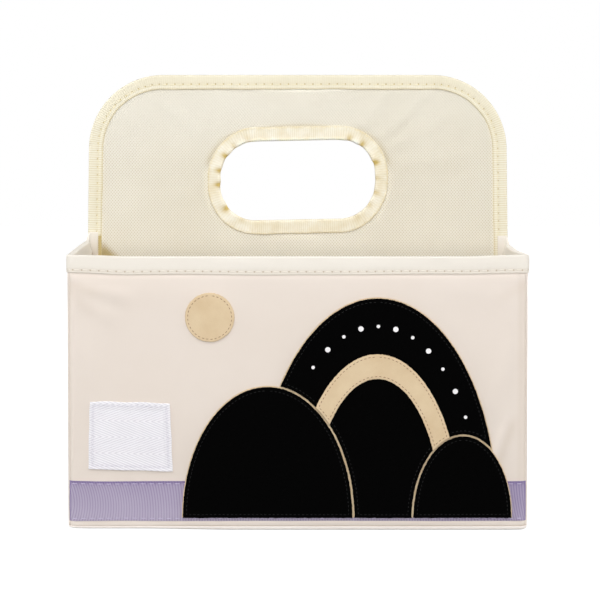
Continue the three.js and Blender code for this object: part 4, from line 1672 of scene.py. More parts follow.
@dataclass
class FloorInsert:
    """A loose board in the floor of one bin, under a cover turned down round its edge."""

    bin: Bin
    sizes: CaddySizes = SIZES
    step: float = 2.2
    edge_radius: float = 1.3
    stitch_inset: float = 6.0
    crown: float = 0.35

    def build(self) -> None:
        """Makes and seats the cover and its stitches, which ride with the loose board."""
        size = self.sizes
        name = self.bin.name.lower()
        body = f"{name}_insert"
        low, high = (Vector(corner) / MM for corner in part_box(f"{name}_floor_board_cover"))
        centre = ((low.x + high.x) / 2, (low.y + high.y) / 2)
        outline = Outline.rounded(high.x - low.x, high.y - low.y, size.insert_corner_radius, self.step)
        turns = np.linspace(0.0, math.pi / 2, 6)
        shares = np.array([0.04, 0.15, 0.3, 0.45, 0.6, 0.75, 0.86])
        flat_insets = [9.0, 7.2, 6.6, 6.0, 5.4, 4.8, 3.0, 2.0]
        radius = self.edge_radius
        top, foot = high.z, low.z
        outer_rows = [(share, 12.0, top) for share in shares]
        outer_rows += [(1.0, inset, top) for inset in flat_insets]
        outer_rows += [(1.0, radius - radius * math.sin(a),
                        top - radius + radius * math.cos(a)) for a in turns]
        outer_rows += [(1.0, 0.0, (top + foot) / 2), (1.0, 0.0, foot + 0.3), (1.0, 0.0, foot)]
        thick = size.insert_cover
        bend = radius - thick
        inner_rows = [(share, 12.0, top - thick) for share in shares]
        inner_rows += [(1.0, inset, top - thick) for inset in flat_insets]
        inner_rows += [(1.0, radius - bend * math.sin(a), top - radius + bend * math.cos(a)) for a in turns]
        inner_rows += [(1.0, thick, (top + foot) / 2), (1.0, thick, foot + 0.3), (1.0, thick, foot)]
        noise = SoftNoise(48.0, 83 if self.bin is Bin.FRONT else 89)
        outer = self.rings(outline, outer_rows, centre, noise, True)
        inner = self.rings(outline, inner_rows, centre, noise, False)
        across = np.concatenate([[0.0],
                                 np.cumsum(np.linalg.norm(np.diff(outer, axis=1).mean(axis=0), axis=1))])
        insets = np.array([inset if share == 1.0 else 20.0 for share, inset, _ in outer_rows])
        # Painted shade along the stitched dip.
        crease = np.broadcast_to(0.3 * bell(insets - self.stitch_inset, 0.6), outer.shape[:2])
        shell = ClothShell(outer, inner, outline.reach, across, crease, ring_length=outline.around,
                           centred=True,
                           places=level_places)
        piece = seat(shell.build(f"{name}_floor_board_cover_cloth"), LINING,
                     [f"{name}_floor_board_cover"], body)
        row = len(shares) + flat_insets.index(self.stitch_inset)
        line = np.concatenate([outer[:, row], outer[:1, row]])
        up = np.tile([0.0, 0.0, 1.0], (len(line), 1))
        stitches = seat(StitchRow().build(f"{name}_floor_board_stitches", [(line, up)]), CREAM_THREAD,
                        body=body)

    def rings(self, outline: Outline, rows: Sequence[tuple[float, float, float]], centre: Span,
              noise: SoftNoise, upper: bool) -> Array:
        """Returns loops of points, for rows of share of the way out, inset and height."""
        loops = []
        for share, inset, z in rows:
            flat = outline.moved(-inset) * share + np.array(centre)
            swell = self.crown * 0.5 * (1.0 + noise.at(flat[:, 0], flat[:, 1]))
            inward = 1.0 if share < 1.0 else float(smooth_step(2.0, 9.0, inset))
            dip = 0.3 * float(bell(inset - self.stitch_inset, 0.7)) if upper and share == 1.0 else 0.0
            loops.append(np.column_stack([flat, z + np.maximum(swell, 0.0) * inward - dip]))
        return np.stack(loops, axis=1)


# Divider


@dataclass
class Divider:
    """The upright cloth covers of the divider, and the tapes folded round its edge and its hand hole."""

    sizes: CaddySizes = SIZES
    angles: int = 560
    tape_step: float = RIB_PITCH / 3
    hole_step: float = 0.42
    rib_height: float = 0.15
    hole_tilt: float = 0.02

    @cached_property
    def board_inset(self) -> float:
        """How far the board and covers stop inside the tapes' folds."""
        return self.sizes.tape + self.sizes.tape_fold_room

    def edge_line(self, foot: float, step: float) -> Outline:
        """Returns the divider's outside edge from foot, up the right side, over, and down the left."""
        size = self.sizes
        low, high = (float(size.half_width(size.divider_reach, z)) for z in (foot, size.handle_height))
        top = size.handle_height
        return Outline.filleted([(low, foot), (high, top), (-high, top), (-low, foot)],
                                [size.handle_corner_radius] * 2, step)

    def hole_line(self, step: float) -> Outline:
        """Returns the hand hole's edge, its normals pointing into the cloth."""
        size = self.sizes
        line = Outline.rounded(size.hole_width, size.hole_height, size.hole_corner_radius, step,
                               (0.0, size.hole_centre))
        tilted = line.points + np.column_stack([np.zeros(len(line.points)),
                                                self.hole_tilt * line.points[:, 0]])
        return Outline.of(tilted, line.normals)

    def build(self) -> None:
        """Makes and seats the covers and the tapes."""
        self.build_cover(Bin.FRONT)
        self.build_cover(Bin.REAR)
        self.build_edge_tape()
        self.build_hole_tape()

    def wrinkles(self, face: Bin) -> Callable[[Array, Array], Array]:
        """Returns the lift of one cover: faint folds that fan out from the hand hole."""
        noise = SoftNoise(60.0, 101 if face is Bin.FRONT else 103)
        folds = (
            Crease((66.0, 284.0), (96.0, 312.0), 3.2, 0.6), Crease((74.0, 276.0), (112.0, 296.0), 3.0, 0.35),
            Crease((50.0, 290.0), (66.0, 314.0), 3.0, 0.5), Crease((82.0, 262.0), (124.0, 268.0), 4.0, 0.4),
            Crease((-70.0, 282.0), (-100.0, 304.0), 4.0, 0.3),
            Crease((-84.0, 240.0), (-126.0, 226.0), 5.0, 0.25),
            Crease((20.0, 200.0), (44.0, 168.0), 7.0, 0.25),
            Crease((-96.0, 190.0), (-60.0, 176.0), 8.0, 0.25),
        )
        side = 1.0 if face is Bin.FRONT else -1.0

        def lift(x: Array, z: Array) -> Array:
            """Returns the lift at these places."""
            total = 0.16 * (1.0 + np.clip(noise.at(x, z), -1.0, 1.0))
            for fold in folds:
                total = total + fold.at(side * x, z)
            return total

        return lift

    def build_cover(self, face: Bin) -> None:
        """Makes and seats the woven cover on one face."""
        size = self.sizes
        name = f"divider_{face.name.lower()}_cover"
        foot = size.floor + size.divider_floor_gap
        centre = np.array([0.0, size.hole_centre])
        edge = self.edge_line(foot, 0.6)
        inset = edge.moved(self.board_inset)
        inset_low = inset[0], inset[-1]
        bottom = np.linspace(inset_low[1], inset_low[0], 400)[1:-1]
        rim = np.concatenate([inset, bottom]) - centre
        hole = self.hole_line(0.4).moved(self.board_inset) - centre
        corner_angles = [math.atan2(*(corner - centre)[::-1]) % math.tau for corner in inset_low]
        angles = np.unique(np.concatenate([np.linspace(0, math.tau, self.angles, endpoint=False),
                                           corner_angles]))
        directions = np.column_stack([np.cos(angles), np.sin(angles)])
        far = self.radii(rim, angles)
        near = self.radii(hole, angles)
        shares = edge_spaced(100.0, 100.0 / 44, 0.25)
        radii = near[:, None] + (far - near)[:, None] * shares[None, :]
        flat = centre + directions[:, None, :] * radii[..., None]
        from_rim = far[:, None] - radii
        from_hole = radii - near[:, None]
        free = smooth_step(size.edge_tape_width, size.edge_tape_width + 8.0, from_rim)
        free = free * smooth_step(size.hole_tape_width, size.hole_tape_width + 5.0, from_hole)
        free = free * smooth_step(foot, foot + 12.0, flat[..., 1])
        lifted = self.wrinkles(face)(flat[..., 0], flat[..., 1]) * free
        outward = -face.value
        faces = []
        for depth in (size.cover_face, size.cover_face - size.cover):
            y = outward * (depth + lifted)
            faces.append(np.stack([flat[..., 0], y, flat[..., 1]], axis=-1))
        # Painted light and shade are full on the front cover, and weaker on the rear.
        lit = 1.0 if face is Bin.FRONT else 0.3
        under_top = 0.3 + 0.6 * smooth_step(305.0, 315.0, flat[..., 1])
        # Painted light in a band below the edge tape, most under its top.
        crease = -lit * under_top * bell(from_rim - size.edge_tape_width + self.board_inset - 0.6, 0.9)
        above = smooth_step(4.0, 16.0, flat[..., 1] - size.hole_centre)
        beside_tape = bell(from_hole - size.hole_tape_width + self.board_inset - 0.8, 1.1)
        # Painted shade above the hole tape and painted light below it.
        crease = crease + lit * (0.65 * above - 0.3) * beside_tape
        # Painted light low in the middle of the cover, against the shade of the bin's walls.
        crease = crease - 0.1 * smooth_step(262.0, 215.0, flat[..., 1]) * bell(flat[..., 0], 120.0)
        # A slightly deeper colour towards the top.
        crease = crease + 0.07 * smooth_step(265.0, 325.0, flat[..., 1])
        if face is Bin.FRONT:
            crease = crease + self.corner_shade(flat[..., 0], flat[..., 1])
        shell = ClothShell(faces[0], faces[1], angles, shares, np.clip(crease, -1, 1), ring_length=math.tau,
                           places=planar_places)
        piece = seat(shell.build(f"{name}_cloth"), OXFORD, [name])

    @staticmethod
    def corner_shade(x: Array, z: Array) -> Array:
        """Returns the painted shadow cast by the left flange into the front cover's lower left corner, and a
        slightly deeper colour towards the lower right.
        """
        left = 1.2 * smooth_step(0.0, 1.0, (209.0 - z) / 12.0 - (x + 152.5) / 13.0) * (x < 0)
        return left + 0.08 * smooth_step(265.0, 205.0, z) * smooth_step(70.0, 150.0, x)

    @staticmethod
    def radii(points: Array, angles: Array) -> Array:
        """Returns how far out a closed line round the origin is in each direction."""
        own = np.arctan2(points[:, 1], points[:, 0]) % math.tau
        order = np.argsort(own)
        own, reach = own[order], np.linalg.norm(points, axis=1)[order]
        return np.interp(angles, own, reach, period=math.tau)

    def folded_tape(self, width: float) -> FoldedStrip:
        """Returns the section of a tape of this width on each face."""
        size = self.sizes
        face = size.cover_face + size.ply_gap
        return FoldedStrip(-face, face, width, size.tape)

    def build_edge_tape(self) -> None:
        """Makes and seats the ribbed tape round the divider's edge, with its stitches."""
        size = self.sizes
        line = self.edge_line(size.wall_bottom, self.tape_step)
        outer_path, inner_path = self.folded_tape(size.edge_tape_width).faces(1.6)
        across = FoldedStrip.across(outer_path)
        along = line.reach
        slack = SoftNoise(46.0, 111)
        row = bell(outer_path[:, 0] - (size.edge_tape_width - EDGE_ROW), 0.8)
        face_share = np.clip(np.abs(outer_path[:, 1]) / size.tape_face, 0, 1)
        rib = self.rib_height * 0.5 * np.cos(math.tau * along[:, None] / RIB_PITCH)
        rib = rib * smooth_step(0.0, 1.0, size.edge_tape_width - outer_path[:, 0])[None, :]
        beat = 0.6 + 0.4 * np.cos(math.tau * along[:, None] / SEAM_PITCH)
        swell = 0.12 * (1.0 + slack.at(along[:, None], outer_path[None, :, 1])) * face_share[None, :]
        lifted = rib + swell * 0.6 - 0.2 * row[None, :] * beat
        ripple = 0.25 * SoftNoise(30.0, 113).at(along[:, None])
        ripple = ripple * (outer_path[None, :, 0] / size.edge_tape_width) ** 2
        outer = self.along_line(line, outer_path, lifted, ripple)
        inner = self.along_line(line, inner_path, np.zeros_like(lifted), ripple)
        # A dark line along the tape's inner edge, partly its selvage and partly painted shade; painted shade
        # in the stitched dip.
        crease = 0.5 * bell(outer_path[:, 0] - size.edge_tape_width, 0.3) + 0.12 * row
        # Painted shadow on the front face's inner edge near the foot, beside the left flange.
        near_foot = (line.points[:, 0] < 0) * smooth_step(209.0, 206.0, line.points[:, 1])
        inner_band = smooth_step(size.edge_tape_width - 3.4, size.edge_tape_width - 2.0, outer_path[:, 0])
        # A painted highlight just inside the inner edge.
        crease = crease - 0.15 * bell(outer_path[:, 0] - size.edge_tape_width + 1.4, 0.6)
        crease = crease[None, :] + 1.0 * near_foot[:, None] * inner_band * (outer_path[:, 1] < 0)
        # A slightly deeper colour towards the top.
        crease = crease + 0.12 * smooth_step(290.0, 326.0, line.points[:, 1])[:, None]
        shell = ClothShell(outer, inner, along, across, crease)
        piece = seat(shell.build("divider_edge_tape_ribbed"), EDGE_TAPE, ["divider_edge_tape"])
        depth = size.edge_tape_width - EDGE_ROW
        lines = []
        for far, side in ((False, -1.0), (True, 1.0)):
            column = BinWalls.nearest_row(outer_path, depth, far)
            lines.append((outer[::3, column], np.tile([0.0, side, 0.0], (len(outer[::3]), 1))))
        stitches = seat(StitchRow(radius=0.2, rise=0.1).build("divider_edge_stitches", lines), YELLOW_THREAD)

    def along_line(self, line: Outline, path: Array, lifted: Array, shift: Array) -> Array:
        """Sweeps a folded strip's face along an upright line.

        Args:
            line: The line in X and Z.
            path: The face's path, distance from the line and depth.
            lifted: How far each point stands out across the divider.
            shift: How far each point moves away from the line.

        Returns:
            The face's points.
        """
        away = path[None, :, 0] + shift
        side = np.clip(path[:, 1] / self.sizes.cover_face, -1.0, 1.0)[None, :]
        y = path[None, :, 1] + lifted * side
        outwards = lifted * (1.0 - np.abs(side))
        flat = line.points[:, None, :] + line.normals[:, None, :] * (away - outwards)[..., None]
        return np.stack([flat[..., 0], y, flat[..., 1]], axis=-1)

    def build_hole_tape(self) -> None:
        """Makes and seats the tape round the hand hole, gathered in pleats where it goes round the ends."""
        size = self.sizes
        line = self.hole_line(self.hole_step)
        outer_path, inner_path = self.folded_tape(size.hole_tape_width).faces(0.9)
        across = FoldedStrip.across(outer_path)
        away, depth = outer_path[None, :, 0], outer_path[None, :, 1]
        bend = smooth_step(1.0, 0.55, np.abs(line.points[:, 0]) / (size.hole_width / 2))
        round_end = (1.0 - bend)[:, None]
        pleats, valleys = self.pleats(line)
        towards_hole = smooth_step(size.hole_tape_width * 0.85, 1.0, away)
        on_face = np.clip(np.abs(depth) / size.cover_face, 0, 1)
        swell = 0.20 * (1.0 + self.looped(SoftNoise(14.0, 127), line, depth * 2.0)) * round_end
        swell = swell + 0.08 * (1.0 + self.looped(SoftNoise(26.0, 131), line, depth))
        lifted = swell * on_face + 0.5 * pleats[:, None] * towards_hole * on_face - 0.15 * (1 - on_face)
        scallop = 0.35 * pleats[:, None] * smooth_step(4.0, 0.0, away)
        ripple = -scallop + 0.2 * self.looped(SoftNoise(20.0, 137), line) * (away / size.hole_tape_width) ** 2
        ripple = ripple - 0.13 * away * round_end
        outer = self.along_line(line, outer_path, lifted, ripple)
        inner = self.along_line(line, inner_path, np.maximum(lifted * 0.4, 0.0), ripple)
        # Painted shade in the pleats' valleys and along the tape's outer edge.
        fading = smooth_step(size.hole_tape_width * 0.8, 0.5, away)
        crease = 0.95 * valleys[:, None] ** (1.6 - 0.8 * fading) * fading
        crease = crease + 0.3 * bell(away - size.hole_tape_width, 0.3)
        # Painted light on the fold round the hole, most under its top, where the fold faces down.
        overhead = smooth_step(18.0, 29.0, line.points[:, 1] - size.hole_centre)[:, None]
        crease = crease - (0.15 + 0.8 * overhead) * bell(away, 1.3) * (1.0 - valleys[:, None])
        shell = ClothShell(outer, inner, line.reach, across, np.clip(crease, -1, 1), ring_length=line.around)
        piece = seat(shell.build("handle_hole_tape_gathered"), HOLE_TAPE, ["handle_hole_tape"])
        lines = []
        for far, side in ((False, -1.0), (True, 1.0)):
            column = BinWalls.nearest_row(outer_path, size.hole_tape_width - 1.5, far)
            loop = np.concatenate([outer[::3, column], outer[:1, column]])
            lines.append((loop, np.tile([0.0, side, 0.0], (len(loop), 1))))
        thread = StitchRow(pitch=4.2, length=3.5, radius=0.18, rise=0.08)
        stitches = seat(thread.build("handle_hole_stitches", lines), YELLOW_THREAD)

    @staticmethod
    def looped(noise: SoftNoise, line: Outline, across: Array | float = 0.0) -> Array:
        """Reads a noise along a closed line so that the line's end meets its start.

        Args:
            noise: The noise.
            line: The closed line.
            across: Places across the cloth.

        Returns:
            The values, one row for each of the line's points.
        """
        along = line.reach[:, None]
        late = smooth_step(line.around - 14.0, line.around, along)
        return (1.0 - late) * noise.at(along, across) + late * noise.at(along - line.around, across)

    def pleats(self, line: Outline) -> tuple[Array, Array]:
        """Gathers the hole's tape round both ends.

        Args:
            line: The hole's edge.

        Returns:
            For each of its points how high the tape is gathered there, and how deep in a fold it lies.
        """
        size = self.sizes
        beside = np.abs(line.points[:, 0]) - (size.hole_width / 2 - size.hole_corner_radius)
        angles = np.degrees(np.arctan2(line.points[:, 1] - size.hole_centre, beside))
        hand = np.sign(line.points[:, 0])
        folds = {
            1.0: ((77.0, 0.75), (58.0, 0.9), (26.0, 1.0), (3.0, 0.35), (-20.0, 0.55), (-41.0, 0.45),
                  (-66.0, 0.25)),
            -1.0: ((79.0, 0.35), (57.0, 0.55), (38.0, 1.0), (14.0, 0.9), (-8.0, 1.0), (-45.0, 0.9),
                   (-72.0, 0.2)),
        }
        height, valley = np.zeros(len(angles)), np.zeros(len(angles))
        for side, places in folds.items():
            for place, depth in places:
                away = (angles - place) * (hand == side) + 180.0 * (hand != side)
                height += depth * (bell(away - 8.0, 5.0) - 0.5 * bell(away, 3.0))
                valley += depth * bell(away - 0.8, 3.0)
        return height, np.clip(valley, 0.0, 1.0)


# Trims on the front wall


@dataclass
class FrontRibbon:
    """The ribbed lavender ribbon along the foot of the front wall, from seam to seam."""

    relief: WallRelief = FRONT_RELIEF
    sizes: CaddySizes = SIZES
    step: float = 0.5
    rib_pitch: float = 1.95
    rib_height: float = 0.16
    row: float = 1.7

    def bow(self, along: Array, share: Array) -> Array:
        """Returns how far the ribs bow sideways, most near the left end."""
        belly = 4.0 * share * (1.0 - share)
        lean = 3.2 * bell(along + 118.0, 34.0) * share * share
        lean = lean - 5.0 * bell(along - 150.0, 16.0) * (1.0 - share)
        return (1.0 * bell(along - 165.0, 16.0) - 2.8 * bell(along + 165.0, 34.0)) * belly + lean

    def build(self) -> None:
        """Makes and seats the ribbon and its two rows of stitches."""
        size = self.sizes
        line = BinLine(Bin.FRONT, size.butt_reach)
        seam = size.seam_gap / (math.pi * size.wall_corner_radius)
        t = line.stations(0.0, 1.5 - seam, self.step, both=True)
        along = line.lengths(t)
        shares = edge_spaced(size.ribbon_width, 1.5, 0.3)
        wave = 0.18 * SoftNoise(70.0, 151).at(along[:, None]) * (2 * shares[None, :] - 1)
        z = size.ribbon_height + size.ribbon_width * shares[None, :] + wave
        rib = np.cos(math.tau * (along[:, None] + self.bow(along[:, None], shares[None, :])) / self.rib_pitch)
        beside = np.minimum(shares, 1.0 - shares) * size.ribbon_width
        calm = smooth_step(0.3, 1.2, beside)[None, :]
        rows = bell(beside - self.row, 0.5)[None, :]
        lifted = self.relief.at(along[:, None], z)
        calm = calm * (1.0 - 0.55 * smooth_step(120.0, 150.0, along))[:, None]
        top = lifted + self.rib_height * 0.5 * rib * calm - 0.12 * rows
        outer = line.place(t[:, None], z, -size.ply_gap - size.ribbon - top)
        inner = line.place(t[:, None], z, -size.ply_gap - lifted)
        # Painted shade along the rounded edges, heaviest at the top, and beside the stitch rows; the colour
        # also deepens towards the top, towards the right end and at the cut ends.
        top_share = smooth_step(0.4, 0.6, shares)
        crease = (0.1 + 0.6 * top_share) * bell(beside - 0.2, 0.45) + 0.3 * shares - 0.02
        beside_rows = bell(beside - self.row - 0.6, 0.4) + bell(beside - 1.1, 0.3)
        crease = crease + (0.05 + 0.35 * top_share) * beside_rows
        crease = crease[None, :] + 0.22 * smooth_step(60.0, 165.0, along)[:, None]
        ends = bell(np.abs(along)[:, None] - np.abs(along[0]), 0.7)
        shell = ClothShell(outer, inner, along, size.ribbon_width * shares,
                           np.clip(crease + 0.9 * ends, 0, 1))
        piece = seat(shell.build("front_ribbon_ribbed"), RIBBON, ["front_ribbon"])
        bowed = along[:, None] + self.bow(along[:, None], shares[None, :])
        self.follow_bow(piece, bowed)
        lines = []
        for share in (self.row / size.ribbon_width, 1.0 - self.row / size.ribbon_width):
            column = int(np.argmin(np.abs(shares - share)))
            lines.append((outer[::3, column], line.outward(t[::3], size.ribbon_height)))
        thread = StitchRow(length=4.7, radius=0.28, rise=0.18)
        stitches = seat(thread.build("front_ribbon_stitches", lines), LAVENDER_THREAD)

    @staticmethod
    def follow_bow(piece: Piece, bowed: Array) -> None:
        """Moves the weave's places along with the bowed ribs.

        Args:
            piece: The ribbon.
            bowed: Each outer point's place along the ribs, stations by rows.
        """
        mesh = piece.data
        count, rows = bowed.shape
        size = 2 * rows + 2
        shift = np.zeros((count, size))
        shift[:, :rows] = bowed
        shift[:, rows] = bowed[:, -1]
        shift[:, rows + 1:2 * rows + 1] = bowed[:, ::-1]
        shift[:, -1] = bowed[:, 0]
        corner = np.zeros(len(mesh.loops), int)
        mesh.loops.foreach_get("vertex_index", corner)
        places = np.zeros(2 * len(mesh.loops), np.float32)
        mesh.uv_layers[CLOTH_UV].uv.foreach_get("vector", places)
        places[0::2] = shift.ravel()[corner]
        mesh.uv_layers[CLOTH_UV].uv.foreach_set("vector", places)


@dataclass
class WovenLabel:
    """A blank herringbone label with folded edges, sewn flat on the front wall."""

    relief: WallRelief = FRONT_RELIEF
    sizes: CaddySizes = SIZES
    step: float = 0.8
    fold: float = 4.5
    row: float = 2.6

    def build(self) -> None:
        """Makes and seats the label and its stitches."""
        size = self.sizes
        left = size.label_side_inset - size.base_width / 2
        foot = size.ribbon_height + size.ribbon_width + size.label_ribbon_gap
        centre = (left + size.label_width / 2, foot + size.label_height / 2)
        across = edge_spaced(size.label_height, 1.2, 0.3) * size.label_height
        along = edge_spaced(size.label_width, 1.2, 0.3) * size.label_width
        x, z = np.meshgrid(along - size.label_width / 2, across - size.label_height / 2, indexing="ij")
        from_edge = np.minimum(size.label_width / 2 - np.abs(x), size.label_height / 2 - np.abs(z))
        stretch = SoftNoise(16.0, 161)
        pull = 0.3 * stretch.at(x * 0.9, z * 0.9) * smooth_step(6.0, 0.0, from_edge)
        x = x + pull * np.sign(x) * smooth_step(14.0, 0.0, size.label_width / 2 - np.abs(x))
        x = x * (1.0 - 0.001 * z)
        z = z + pull * np.sign(z) * smooth_step(14.0, 0.0, size.label_height / 2 - np.abs(z)) - 0.024 * x
        seen_x, seen_z = x + centre[0], z + centre[1]
        loose = 0.55 * smooth_step(3.2, 0.0, across)[None, :] * (0.7 + 0.5 * stretch.at(x, 0.0))
        loose = np.maximum(loose, 0.35 * smooth_step(2.6, 0.0, size.label_width - along)[:, None])
        base = size.front + size.ply_gap + self.relief.at(seen_x, seen_z) + np.maximum(loose, 0.0)
        folded = 0.28 * smooth_step(self.fold + 0.5, self.fold - 0.5, from_edge)
        sewn = bell(from_edge - self.row, 0.55)
        top = size.label - 0.28 + folded - 0.2 * sewn + 0.06 * stretch.at(3 * x, 3 * z)
        curl = 0.25 * smooth_step(1.2, 0.0, from_edge)
        outer = np.stack([seen_x, -(base + top - curl), seen_z], axis=-1)
        inner = np.stack([seen_x, -base, seen_z], axis=-1)
        # Painted shade along the fold line inside the edges and in the stitched dip.
        crease = 0.12 * bell(from_edge - self.fold, 0.4) + 0.3 * sewn
        shell = ClothShell(outer, inner, along, across, crease)
        piece = seat(shell.build("woven_label_twill"), LABEL, ["woven_label"])
        lines = self.seams(outer, from_edge)
        thread = StitchRow(pitch=3.4, length=2.7, radius=0.17, rise=0.1)
        stitches = seat(thread.build("woven_label_stitches", lines), WHITE_THREAD)

    def seams(self, outer: Array, from_edge: Array) -> list[tuple[Array, Array]]:
        """Returns the four lines of stitches just inside the label's edges, with their normals."""
        middle = [size // 2 for size in from_edge.shape]
        columns = [int(np.argmin(np.abs(from_edge[:middle[0], middle[1]] - self.row))),
                   middle[0] + int(np.argmin(np.abs(from_edge[middle[0]:, middle[1]] - self.row)))]
        rows = [int(np.argmin(np.abs(from_edge[middle[0], :middle[1]] - self.row))),
                middle[1] + int(np.argmin(np.abs(from_edge[middle[0], middle[1]:] - self.row)))]
        inside_x = slice(columns[0], columns[1] + 1)
        inside_z = slice(rows[0], rows[1] + 1)
        lines = [outer[column, inside_z] for column in columns] + [outer[inside_x, row] for row in rows]
        return [(line, np.tile([0.0, -1.0, 0.0], (len(line), 1))) for line in lines]


# Felt landscape


@dataclass(frozen=True)
class Hill:
    """Half an ellipse that stands on the felt's foot, in millimetres across and up the wall."""

    centre: float
    half_width: float
    height: float
    foot: float

    def grown(self, margin: float) -> "Hill":
        """Returns the hill grown all round but at its foot."""
        return Hill(self.centre, self.half_width + margin, self.height + margin, self.foot)

    def holds(self, points: Array) -> Array:
        """Returns which of the points are inside."""
        across, up = points[:, 0] - self.centre, points[:, 1] - self.foot
        return ((across / self.half_width) ** 2 + (up / self.height) ** 2 < 1.0) & (up > 0.0)

    def outline(self, step: float) -> Array:
        """Returns its edge as a closed line of points."""
        count = int(math.pi * (self.half_width + self.height) / 2 / step)
        angles = np.linspace(0.0, math.pi, count + 1)
        arch = np.column_stack([self.centre + self.half_width * np.cos(angles),
                                self.foot + self.height * np.sin(angles)])
        base = np.linspace(arch[-1], arch[0], int(2 * self.half_width / step) + 1)[1:-1]
        return np.concatenate([arch, base])


@dataclass(frozen=True)
class Disc:
    """A round patch."""

    centre: Span
    radius: float

    def holds(self, points: Array) -> Array:
        """Returns which of the points are inside."""
        return np.linalg.norm(points - np.array(self.centre), axis=1) < self.radius

    def outline(self, step: float) -> Array:
        """Returns its edge as a closed line of points."""
        angles = np.linspace(0.0, math.tau, max(int(math.tau * self.radius / step), 12), endpoint=False)
        return np.column_stack([np.cos(angles), np.sin(angles)]) * self.radius + np.array(self.centre)


